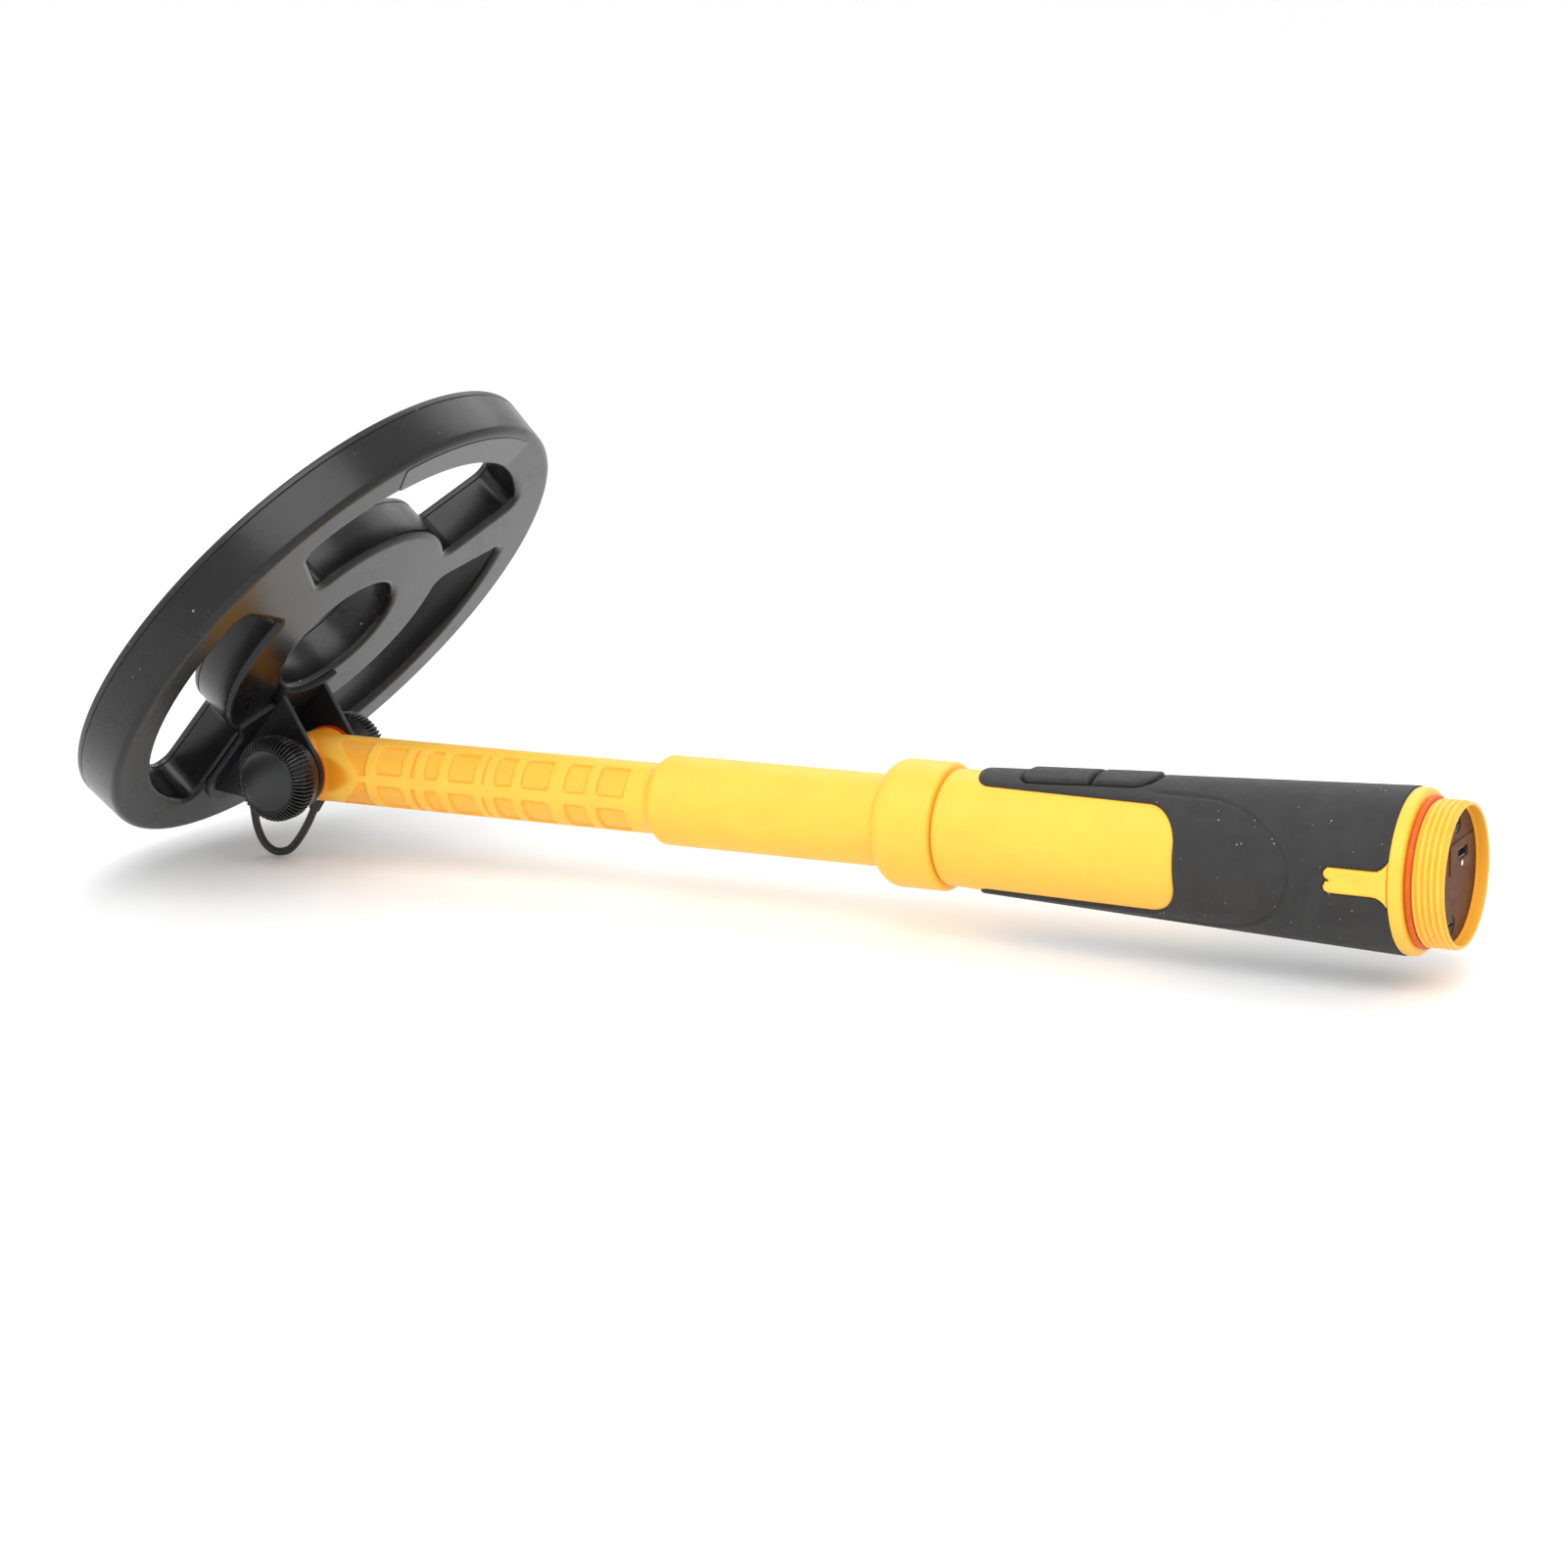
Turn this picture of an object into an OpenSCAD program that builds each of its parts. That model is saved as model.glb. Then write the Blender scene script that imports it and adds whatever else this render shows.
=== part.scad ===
// Handheld metal detector: a folding three-spoke search coil on a round
// pointer shaft, screwed to a battery handle with an open threaded rear neck.
// The origin is the centre of the rear neck's mouth. +X points out of the
// mouth, +Z towards the push buttons, and the coil folds about Y.
// Every sub-part is drawn from the fold pivot, and from_pivot() places it.

/* [Coil] */
// Radius of the coil at its ear-side face
coil_r = 100; // [95:1:105]
// How much wider the coil is at its skid side
coil_draft = 1.5; // [0:0.1:3]
// Thickness of the coil
coil_t = 19; // [15:0.5:22]
// Radius of the hole through the hub
hub_hole_r = 25; // [20:1:28]
// Outer radius of the hub
hub_r = 50; // [46:1:54]
// Inner radius of the outer ring
ring_r = 83.5; // [78:0.5:86]
// Half angle of each narrow spoke
spoke_half = 10; // [6:0.5:14]
// Half width of the wide spoke under the ears
wide_spoke_half = 20; // [17:1:24]
// Thickness of the cover on the skid side
cover_t = 2.5; // [2:0.5:4]

/* [Fold joint] */
// Angle between the coil's plane and the shaft as stored
fold = 48; // [0:1:180]
// Distance from the pivot to the coil's centre, along the coil's plane
coil_a = 46; // [40:1:60]
// Distance from the pivot to the coil's face
coil_h = 21.5; // [20:0.5:26]
// Radius of the ears' round heads
ear_r = 13.2; // [12:0.1:14]
// Distance from the middle plane to an ear's outer face
ear_out = 13.4; // [13:0.1:15]
// Thickness of an ear
ear_t = 2.2; // [2:0.1:3]
// Radius of the pivot bolt
bolt_r = 3; // [2.5:0.25:3.5]
// Outer radius of the knobs
knob_r = 15.3; // [14:0.1:17]
// Ribs around each knob
knob_ribs = 60; // [48:2:60]

/* [Shaft] */
// Outer radius of the ribbed shaft
shaft_r = 12.2; // [12:0.1:12.6]
// Depth of the panels between the shaft's ribs
panel_depth = 0.8; // [0.4:0.1:1.2]
// Outer radius of the plain middle tube
mid_r = 15.4; // [14:0.1:16]
// Outer radius of the shaft's rear collar
collar_r = 21.2; // [20.6:0.1:21.6]

/* [Handle] */
// Radius of the yellow housing at its front end
grip_r0 = 19.1; // [18.9:0.1:20]
// Radius of the yellow housing at its rear end
grip_r1 = 25.3; // [25:0.1:26.4]
// How far the rubber stands proud of the housing
proud = 0.9; // [0.5:0.1:1.2]
// Half height of the side windows in the rubber
window_half = 17.3; // [15:0.1:18]
// Half width of the push buttons
button_half = 8.7; // [6:0.1:9]
// Radius of the rear neck's thread at its crests
neck_r = 22.9; // [22.8:0.1:23.4]
// Radius of the open bore in the rear neck
neck_bore_r = 21.4; // [21:0.1:21.5]

/* [Hidden] */
$fn = 96;

// Stations along the handle axis, from the fold pivot
cone_x = [142, 152];            // ribbed shaft opens into the middle tube
cove_x = 233.4;                 // middle tube meets the collar's shoulder
collar_end = 256.8;
grip_x = [257, 413];            // yellow housing
rubber_x = [264, 412.8];
flange_end = 417;
thread_x = 419.2;
neck_end = 429.4;
bulkhead_x = [422.4, 425.4];
spigot_x = 244;
spigot_r = 15.4;

flange_r = grip_r1 + proud - 0.3;
neck_root_r = neck_r - 0.6;
thread_pitch = 1.97;
ring_seat_r = 21.7;             // the rear O-ring lies on this
shoulder_r = 6.5;
shoulder_len = 7.2;
wall = 4.2;
rubber_under = 1.4;
led_x = 273.5;
board_z = 9;                    // top of the switch board
bracket_base_t = 2;
eps = 0.05;

shell_t = 2.6;
corner_r = 5;
lead_r = 1.45;
grommet_h = 9.35;               // how far the grommet reaches into the shaft
cable_turn = 19.5;              // where the cable turns along the shaft, from the lead's end
tongue_half = 10;
shaft_bore_r = 11.5;
plug_x = 237;
front_ring_x = 250;
front_ring_tube = 0.7;
washer_r = 12.7;
bracket_screw_x = [-77, -38];
bracket_screw_r = 1.45;
bracket_screw_depth = 2.25;     // into the coil's face
window_end = 342.3;
window_corner = 11;
button_x = [[284, 308.3], [309.1, 330]];
button_pocket_gap = 0.4;
tab_x = [392.3, 413];
tab_half = 3.9;
tab_z = 1.1;
tab_r = 1.9;
tab_fillet = 5.5;
seat_r = neck_bore_r - 0.4;     // the bulkhead sits in this part of the neck
seat_end = 425.9;

// Places on the rear bulkhead, as [y, z]
port_at = [6.9, 5.5];
lamp_at = [6.3, 2.3];
screw_at = [-2.6, -15.3];

// Outline of a knob as [radius, distance from the middle plane]
knob_outline = [
    [0, ear_out + 0.25], [knob_r - 2.3, ear_out + 0.25], [knob_r - 0.5, 20.9], [knob_r - 0.5, 25.4],
    [12.4, 27.4], [11.6, 27.8], [9, 28.6], [6, 29.2], [3, 29.6], [0, 29.6]
];

yellow = "#fbe04f";
orange_red = "#e84a22";
black = "#2b2b2d";
rubber_grey = "#454345";

// Route of the lead's loop below the pivot, as [x, z]
lead_route = [
    [-28.5, -9], [-28, -14], [-27.5, -20], [-26.5, -25.5], [-24, -30.5],
    [-20.5, -33], [-17, -33.5], [-13, -32.3], [-9.5, -29.3], [-6, -25],
    [-3, -20.5], [-0.5, -16]
];

lead_end = lead_route[len(lead_route) - 1];
lead_before = lead_route[len(lead_route) - 2];
cable_start = lead_end + (lead_end - lead_before) / norm(lead_end - lead_before) * cable_turn;

// Panels between the shaft's hoops, as [from, to]
shaft_panels = [
    [35.7, 46.7], [50.4, 51.9], [56, 62], [66, 77], [80.2, 81.2],
    [85, 92.6], [96.4, 107.6], [113.6, 122.6], [126.7, 137.9]
];

// ---- Frames and helpers ----

module from_pivot() translate([-neck_end, 0, 0]) children();

// The coil's own frame: origin at the face's centre, +X away from the ears, +Z to the skid side
module in_coil() from_pivot() rotate([0, -fold, 0]) translate([coil_a, 0, coil_h]) children();

// Turns a shape drawn along Z to lie along the handle axis, starting at x
module along_x(x = 0) translate([x, 0, 0]) rotate([0, 90, 0]) children();

// Turns a shape drawn along Z to lie along the fold axis
module along_y(y = 0) translate([0, y, 0]) rotate([-90, 0, 0]) children();

function pol(r, a) = [r * cos(a), r * sin(a)];
function arc(c, r, a0, a1, n) = [for (i = [0:n]) c + pol(r, a0 + (a1 - a0) * i / n)];
function grip_at(x) = grip_r0 + (grip_r1 - grip_r0) * (x - grip_x[0]) / (grip_x[1] - grip_x[0]);

// ---- Shaft ----

module wedge_sector(r, a0, a1) polygon([[0, 0], pol(r, a0), pol(r, (a0 + a1) / 2), pol(r, a1)]);

// Core, hoops and four lengthwise rails round the recessed panels
module ribbed_body() {
    core_r = shaft_r - panel_depth;
    rail_half = 9;
    top_half = 26;
    panel_count = len(shaft_panels);
    edges = concat([0], [for (p = shaft_panels) each [p[0], p[1]]], [cone_x[0] + 1]);
    along_x() cylinder(r = core_r, h = cone_x[0] + 1);
    for (i = [0:panel_count])
        along_x(edges[2 * i]) cylinder(r = shaft_r, h = edges[2 * i + 1] - edges[2 * i]);
    intersection() {
        along_x(shaft_panels[0][0] - 1) cylinder(r = shaft_r, h = cone_x[0] - shaft_panels[0][0]);
        along_x() linear_extrude(cone_x[0]) {
            for (a = [0, 180]) wedge_sector(2 * shaft_r, a - top_half, a + top_half);
            for (a = [90, 270]) wedge_sector(2 * shaft_r, a - rail_half, a + rail_half);
        }
    }
}

// Barrel about the fold axis, between the two ears
module shaft_tongue() along_y(-tongue_half) cylinder(r = shaft_r, h = 2 * tongue_half);

// Middle tube, rounded shoulder and collar as one turned outline
module turned_rear() rotate([0, 90, 0]) rotate_extrude() polygon(concat(
    [[0, cone_x[0]], [shaft_r, cone_x[0]], [mid_r, cone_x[1]], [mid_r, cove_x]],
    arc([mid_r + 0.8, cove_x], 0.8, 180, 110, 3),
    arc([collar_r - shoulder_r, cove_x + shoulder_len], shoulder_r, -70, 0, 8),
    [[collar_r, collar_end - 1.4], [collar_r - 0.4, collar_end - 0.4], [collar_r - 1.3, collar_end],
     [0, collar_end]]
));

module shaft() color(yellow) from_pivot() difference() {
    union() {
        ribbed_body();
        shaft_tongue();
        turned_rear();
    }
    for (s = [-1, 1]) scale([1, s, 1]) translate([0, 0, -shaft_r - 1]) linear_extrude(2 * shaft_r + 2)
        polygon([[-shaft_r - 1, tongue_half], [14, tongue_half], [26.5, shaft_r + 0.1],
                 [26.5, shaft_r + 2], [-shaft_r - 1, shaft_r + 2]]);
    along_y(-shaft_r) cylinder(r = bolt_r + 0.05, h = 2 * shaft_r);
    along_x(7.5) cylinder(r = 7.5, h = collar_end);
    along_x(160) cylinder(r = shaft_bore_r, h = collar_end);
    along_x(spigot_x - 0.5) cylinder(r = spigot_r + 0.1, h = 20);
    along_lead_end(-1) cylinder(r = 2.6, h = 1 + cable_turn - 0.5);
}

// Frame at the lead's end in the shaft, with +Z into the shaft
module along_lead_end(start) {
    lean = atan2(lead_end[0] - lead_before[0], lead_end[1] - lead_before[1]);
    translate([lead_end[0], 0, lead_end[1]]) rotate([0, lean, 0]) translate([0, 0, start]) children();
}

module lead_grommet() color(black) from_pivot() along_lead_end(0) {
    cylinder(r1 = 2, r2 = 2.5, h = 4.4);
    translate([0, 0, 4.4 - eps]) cylinder(r = 2.5, h = grommet_h - 4.4 + eps);
}

// The lead carries on from its grommet, turns and runs to the plug
module shaft_cable() color(black) from_pivot() {
    along_lead_end(grommet_h + 0.05) cylinder(r = lead_r, h = cable_turn - grommet_h - 0.05);
    along_lead_end(cable_turn) sphere(r = lead_r + 0.05);
    translate([0, 0, cable_start[1]]) along_x(cable_start[0])
        cylinder(r = lead_r, h = plug_x + 1.9 - cable_start[0]);
}

module shaft_plug() color("#3a3a3c") from_pivot() difference() {
    along_x(plug_x) union() {
        cylinder(r = 6.5, h = 9);
        translate([0, 0, 2.5]) cylinder(r = shaft_bore_r - 0.02, h = 3);
        translate([0, 0, 8]) cylinder(r = 4.8, h = 9);
    }
    translate([0, 0, cable_start[1]]) along_x(plug_x - 1) cylinder(r = lead_r + 0.1, h = 3);
    for (a = [0:90:270]) along_x(247) rotate(a) translate([2.6, 0, 0]) cylinder(r = 0.6, h = 8);
}

module front_o_ring() color(orange_red) from_pivot() along_x(front_ring_x) rotate_extrude()
    translate([spigot_r - front_ring_tube, 0]) circle(r = front_ring_tube - 0.02);

// ---- Handle ----

module window_outline() {
    straight_end = window_end - window_corner;
    translate([240, -window_half]) square([straight_end - 240, 2 * window_half]);
    translate([straight_end - 1, window_corner - window_half])
        square([window_corner + 1, 2 * (window_half - window_corner)]);
    for (s = [-1, 1]) translate([straight_end, s * (window_half - window_corner)]) circle(r = window_corner);
    for (s = [-1, 1]) scale([1, s]) difference() {
        translate([rubber_x[0] - 1, window_half - eps]) square([11, 14]);
        translate([rubber_x[0] + 10, window_half + 10]) circle(r = 10);
    }
}

// Side windows seen along the fold axis, on both sides at once
module window_prism() rotate([90, 0, 0]) translate([0, 0, -40])
    linear_extrude(80) window_outline();

module housing_skin() rotate([0, 90, 0]) rotate_extrude() polygon([
    [0, grip_x[0]], [grip_at(grip_x[0]), grip_x[0]], [grip_at(rubber_x[1]), rubber_x[1]], [0, rubber_x[1]]
]);

module under_rubber(extra = 0) rotate([0, 90, 0]) rotate_extrude() polygon([
    [0, rubber_x[0] - extra], [grip_at(rubber_x[0] - extra) - rubber_under, rubber_x[0] - extra],
    [grip_at(rubber_x[1] + extra) - rubber_under, rubber_x[1] + extra], [0, rubber_x[1] + extra]
]);

// Neck with its O-ring groove and ring-shaped thread ridges
function thread_ridge(x) = [
    [neck_root_r, x], [neck_r, x + 0.5], [neck_r, x + 0.9], [neck_root_r, x + 1.4]
];

module rear_neck() rotate([0, 90, 0]) rotate_extrude() polygon(concat(
    [[0, rubber_x[1] - eps], [flange_r - 0.4, rubber_x[1] - eps], [flange_r, rubber_x[1] + 0.5],
     [flange_r, flange_end - 1], [flange_r - 1, flange_end], [ring_seat_r, flange_end],
     [ring_seat_r, thread_x]],
    [for (i = [0:4]) each thread_ridge(thread_x + 0.1 + i * thread_pitch)],
    [[neck_r - 0.1, neck_end - 0.7], [neck_r - 0.5, neck_end], [0, neck_end]]
));

// Tab that runs forward from the flange through the rubber, seen along the fold axis
module tab_outline() translate([0, tab_z]) {
    translate([tab_x[0] + tab_r, -tab_half]) square([tab_x[1] - tab_x[0] - tab_r + 0.1, 2 * tab_half]);
    for (s = [-1, 1]) {
        translate([tab_x[0] + tab_r, s * (tab_half - tab_r)]) circle(r = tab_r);
        difference() {
            translate([tab_x[1] - tab_fillet, s * (tab_half + tab_fillet / 2) - tab_fillet / 2 - eps])
                square([tab_fillet + 0.1, tab_fillet + 2 * eps]);
            translate([tab_x[1] - tab_fillet, s * (tab_half + tab_fillet)]) circle(r = tab_fillet);
        }
    }
}

module tab_prism() rotate([90, 0, 0]) linear_extrude(40) tab_outline();

module flange_tab() intersection() {
    tab_prism();
    grip_cone(proud + 0.3, tab_x[0] - 1, tab_x[1] + 0.3);
}

module housing_hollow() rotate([0, 90, 0]) rotate_extrude() polygon([
    [0, spigot_x - 1], [12.6, spigot_x - 1], [12.6, 262], [grip_at(266) - wall, 266],
    [grip_at(386) - wall, 386], [20, 404], [20, bulkhead_x[0]], [seat_r, bulkhead_x[0]],
    [seat_r, seat_end], [neck_bore_r, seat_end], [neck_bore_r, neck_end + 1], [0, neck_end + 1]
]);

module button_shaft_hole(i) {
    mid = (button_x[i][0] + button_x[i][1]) / 2;
    translate([mid - 5, -5, 0]) cube([10, 10, 30]);
}

// Posts for the bulkhead's screws, ribbed to the wall
module bulkhead_posts() {
    x = 412.6;
    h = bulkhead_x[0] - x;
    for (s = [-1, 1]) difference() {
        union() {
            translate([0, s * screw_at[0], s * screw_at[1]]) along_x(x) cylinder(r = 3.2, h = h);
            translate([x, s * screw_at[0] - 1.2, s < 0 ? 15.3 : -20.8]) cube([h, 2.4, 5.5]);
        }
        translate([0, s * screw_at[0], s * screw_at[1]]) along_x(x + 1) cylinder(r = 1.52, h = h);
    }
}

module housing_body() difference() {
    union() {
        along_x(spigot_x) cylinder(r = spigot_r, h = 16);
        along_x(grip_x[0]) cylinder(r = grip_at(grip_x[0]), h = rubber_x[0] - grip_x[0]);
        under_rubber();
        intersection() {
            housing_skin();
            union() {
                window_prism();
                translate([grip_x[0] - 1, -30, -30]) cube([rubber_x[0] - grip_x[0] + 1, 60, 60]);
            }
        }
        rear_neck();
        flange_tab();
    }
    housing_hollow();
    for (i = [0, 1]) button_shaft_hole(i);
    // Room for the buttons' outer edges when they are pressed
    difference() {
        linear_extrude(40) button_pocket_2d(button_pocket_gap);
        grip_cone(0.1 - rubber_under, button_x[0][0] - 20, button_x[1][1] + 20);
    }
    translate([led_x, 0, 0]) cylinder(r = 2.2, h = 30);
    translate([led_x, 0, grip_at(led_x) - rubber_under - 0.5]) cylinder(r = 3.1, h = 5);
    along_x(front_ring_x) rotate_extrude() translate([spigot_r - 2 * front_ring_tube, -front_ring_tube])
        square([2 * front_ring_tube + 1, 2 * front_ring_tube]);
}

module handle_housing() color(yellow) from_pivot() {
    housing_body();
    bulkhead_posts();
}

module button_pocket_2d(grow) {
    x0 = button_x[0][0] - grow;
    x1 = button_x[1][1] + grow;
    half = button_half + grow;
    r0 = 4;
    r1 = 7;
    translate([x0 + r0, -half]) square([x1 - x0 - r0 - r1, 2 * half]);
    translate([x0, -half + r0]) square([r0 + 1, 2 * (half - r0)]);
    translate([x1 - r1 - 1, -half + r1]) square([r1 + 1, 2 * (half - r1)]);
    for (s = [-1, 1]) {
        translate([x0 + r0, s * (half - r0)]) circle(r = r0);
        translate([x1 - r1, s * (half - r1)]) circle(r = r1);
    }
}

module grip_cone(extra, x0, x1) rotate([0, 90, 0]) rotate_extrude() polygon([
    [0, x0], [grip_at(x0) + extra - 0.6, x0], [grip_at(x0) + extra, x0 + 0.8],
    [grip_at(x1) + extra, x1], [0, x1]
]);

module rubber_grip() color(rubber_grey) from_pivot() difference() {
    grip_cone(proud, rubber_x[0], rubber_x[1] - 0.1);
    under_rubber(1);
    window_prism();
    linear_extrude(40) button_pocket_2d(button_pocket_gap);
    translate([led_x, 0, 0]) cylinder(r = 3.1, h = 30);
    tab_prism();
}

module button_cap(i) intersection() {
    linear_extrude(40) button_pocket_2d(0);
    translate([button_x[i][0], -20, 0]) cube([button_x[i][1] - button_x[i][0], 40, 40]);
    difference() {
        grip_cone(proud + 1, button_x[0][0] - 6, button_x[1][1] + 8);
        grip_cone(-0.3, button_x[0][0] - 20, button_x[1][1] + 20);
    }
}

module button(i) {
    mid = (button_x[i][0] + button_x[i][1]) / 2;
    top = grip_at(mid) + 0.7;
    button_cap(i);
    translate([mid - 3.5, -3.5, 12.8]) cube([7, 7, top - 12.8]);
}

module power_button() color(black) from_pivot() button(0);
module mode_button() color(black) from_pivot() button(1);

module led_window() color("#8c8c8e") from_pivot() intersection() {
    translate([led_x, 0, 0]) cylinder(r = 3, h = 30);
    difference() {
        grip_cone(proud - 0.1, 262, 285);
        grip_cone(-rubber_under + 0.02, 240, 300);
    }
}

module status_led() color("#e8e8e0") from_pivot() translate([led_x, 0, board_z]) {
    cylinder(r = 1.5, h = 7.2);
    translate([0, 0, 7.2]) sphere(r = 1.5);
}

// ---- Electronics inside the handle ----

module switch_board() color("#1f6b3a") from_pivot() difference() {
    translate([268, -9, board_z - 1.6]) cube([72, 18, 1.6]);
    for (x = [270, 338]) translate([x, 0, 7]) cylinder(r = 1.1, h = 3);
}

module tact_switches() color("#55565a") from_pivot() for (b = button_x) {
    mid = (b[0] + b[1]) / 2;
    translate([mid - 3, -3, board_z]) cube([6, 6, 2.2]);
    translate([mid, 0, board_z + 2.1]) cylinder(r = 1.6, h = 0.7);
}

module main_board() color("#1f6b3a") from_pivot() difference() {
    translate([267, -12, -1]) cube([76, 24, 1.6]);
    for (x = [270, 340], y = [-9.5, 9.5]) translate([x, y, -2]) cylinder(r = 1.2, h = 4);
}

module handle_socket() color("#3a3a3c") from_pivot() difference() {
    along_x(254.2) cylinder(r = 12.58, h = 6);
    along_x(253) rotate_extrude() translate([8, 0]) square([2, 3]);
}

module vibration_motor() color("#b9bcc0") from_pivot() {
    translate([0, 0, -8]) along_x(276) cylinder(r = 5, h = 12);
    translate([0, 0, -8]) along_x(287.9) cylinder(r = 1, h = 2);
    translate([0, -4.2, -8]) along_x(289) intersection() {
        translate([0, 4.2, 0]) cylinder(r = 4.6, h = 4);
        translate([-5, 4.2, -1]) cube([10, 6, 6]);
    }
}

module buzzer() color("#26272a") from_pivot() difference() {
    translate([312, 0, -12.8]) cylinder(r = 8, h = 5.5);
    translate([312, 0, -13]) cylinder(r = 1, h = 3);
}

module battery_cradle() color("#303134") from_pivot() difference() {
    translate([344, -11.2, -12.4]) cube([68, 22.4, 12]);
    along_x(345.5) cylinder(r = 9.5, h = 65);
}

module battery_cell() color("#3c6ea8") from_pivot() {
    along_x(346.6) cylinder(r = 9.2, h = 61.6);
    along_x(408.1) cylinder(r = 3, h = 1.2);
}

module battery_contacts() color("#c9b27a") from_pivot() {
    translate([345.5, -4, -6]) cube([1, 8, 12]);
    translate([409.4, -4, -6]) cube([1.1, 8, 12]);
}

module rear_bulkhead() color("#4a3328") from_pivot() difference() {
    union() {
        along_x(bulkhead_x[0] + 0.05) cylinder(r = seat_r - 0.1, h = bulkhead_x[1] - bulkhead_x[0]);
        translate([bulkhead_x[1], -5, 0.5]) cube([0.4, 22.5, 9.5]);
    }
    translate([bulkhead_x[0] - 1, port_at[0] - 4.7, port_at[1] - 1.75]) cube([6, 9.4, 3.5]);
    translate([0, lamp_at[0], lamp_at[1]]) along_x(bulkhead_x[0] - 1) cylinder(r = 0.95, h = 6);
    for (s = [-1, 1]) translate([0, s * screw_at[0], s * screw_at[1]]) along_x(bulkhead_x[0] - 1) {
        cylinder(r = 1.6, h = 6);
        translate([0, 0, 2.6]) cylinder(r = 3, h = 4);
    }
}

module bulkhead_screws() color("#8b8d90") from_pivot() for (s = [-1, 1])
    translate([0, s * screw_at[0], s * screw_at[1]]) difference() {
        union() {
            along_x(bulkhead_x[1] - 10) cylinder(r = 1.5, h = 9);
            along_x(bulkhead_x[1] - 1.35) cylinder(r = 2.8, h = 1.1);
        }
        translate([bulkhead_x[1] - 0.8, -2, -0.35]) cube([2, 4, 0.7]);
        translate([bulkhead_x[1] - 0.8, -0.35, -2]) cube([2, 0.7, 4]);
    }

module charge_board() color("#1f6b3a") from_pivot()
    translate([bulkhead_x[0] - 7, port_at[0] - 6, port_at[1] - 9.5]) cube([1.4, 12, 14]);

module charge_socket() color("#c4c6c9") from_pivot() difference() {
    translate([bulkhead_x[0] - 5.6, port_at[0] - 4.5, port_at[1] - 1.6]) cube([8.4, 9, 3.2]);
    translate([bulkhead_x[0] - 3, port_at[0] - 4.1, port_at[1] - 1.2]) cube([8, 8.2, 2.4]);
}

module charge_lens() color("#f2f2ec") from_pivot()
    translate([0, lamp_at[0], lamp_at[1]]) along_x(bulkhead_x[0] - 5.6) cylinder(r = 0.9, h = 9);

module rear_o_ring() color("#f0641e") from_pivot() along_x(flange_end + 1.2) rotate_extrude()
    translate([ring_seat_r + 1.02, 0]) circle(r = 1);

// ---- Coil ----

slot_outer = ring_r - corner_r;
slot_inner = hub_r + corner_r;
outer_turn = asin(corner_r / slot_outer);
inner_turn = asin(corner_r / slot_inner);

// Both rounded corners at a radial edge at angle a, from the ring inwards. The slot lies on the -d side.
function radial_end(a, d) = concat(
    arc(pol(slot_outer, a - d * outer_turn), corner_r, a - d * outer_turn, a + d * 90, 6),
    arc(pol(slot_inner, a - d * inner_turn), corner_r, a + d * 90, a - d * inner_turn + d * 180, 6)
);

// Centre of the corner between the wide spoke's straight side and the circle of radius rc + or - corner_r
function side_corner(rc) =
    let (y = wide_spoke_half + corner_r) [-sqrt(rc * rc - y * y), y];

function side_angle(rc) = let (c = side_corner(rc)) atan2(c[1], c[0]);

// Both rounded corners at the wide spoke, from the hub outwards
function side_end() = concat(
    arc(side_corner(slot_inner), corner_r, side_angle(slot_inner) + 180, 270, 5),
    arc(side_corner(slot_outer), corner_r, 270, side_angle(slot_outer), 6)
);

// Points between, but not at, the two ends of an arc about the coil's centre
function between(r, a0, a1) =
    let (n = round(abs(a1 - a0) / 4)) [for (i = [1:n - 1]) pol(r, a0 + (a1 - a0) * i / n)];

function flipped(points) = [for (i = [len(points) - 1:-1:0]) [points[i][0], -points[i][1]]];

// The opening ahead of the ears, between the two narrow spokes
module front_slot_2d() {
    half = 60 - spoke_half;
    polygon(concat(
        radial_end(half, 1),
        between(hub_r, half - inner_turn, inner_turn - half),
        flipped(radial_end(half, 1)),
        between(ring_r, outer_turn - half, half - outer_turn)
    ));
}

// The opening beside the ears, between a narrow spoke and the wide one
module side_slot_2d() {
    edge = 60 + spoke_half;
    polygon(concat(
        radial_end(edge, -1),
        between(hub_r, edge + inner_turn, side_angle(slot_inner)),
        side_end(),
        between(ring_r, side_angle(slot_outer), edge + outer_turn)
    ));
}

module coil_slots() translate([0, 0, -1]) linear_extrude(coil_t + 2) {
    front_slot_2d();
    side_slot_2d();
    mirror([0, 1]) side_slot_2d();
}

module coil_channels(z0, z1) {
    translate([0, 0, z0]) difference() {
        cylinder(r = coil_r - shell_t - 0.6, h = z1 - z0);
        translate([0, 0, -1]) cylinder(r = ring_r + shell_t, h = z1 - z0 + 2);
    }
    translate([0, 0, z0]) difference() {
        cylinder(r = hub_r - shell_t, h = z1 - z0);
        translate([0, 0, -1]) cylinder(r = hub_hole_r + shell_t, h = z1 - z0 + 2);
    }
    translate([-ring_r - 4, -13, z0]) cube([ring_r - hub_r + 12, 26, z1 - z0]);
}

module coil_shell() color(black) in_coil() difference() {
    rotate_extrude() polygon(concat(
        arc([hub_hole_r + 2, 2], 2, 180, 270, 4),
        arc([coil_r - 3, 3], 3, -90, 0, 6),
        [[coil_r + coil_draft * (coil_t - cover_t) / coil_t, coil_t - cover_t],
         [hub_hole_r, coil_t - cover_t]]
    ));
    coil_slots();
    coil_channels(shell_t, coil_t);
    for (x = bracket_screw_x) translate([x, 0, -1])
        cylinder(r = bracket_screw_r + 0.02, h = bracket_screw_depth + 1.05);
}

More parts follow.
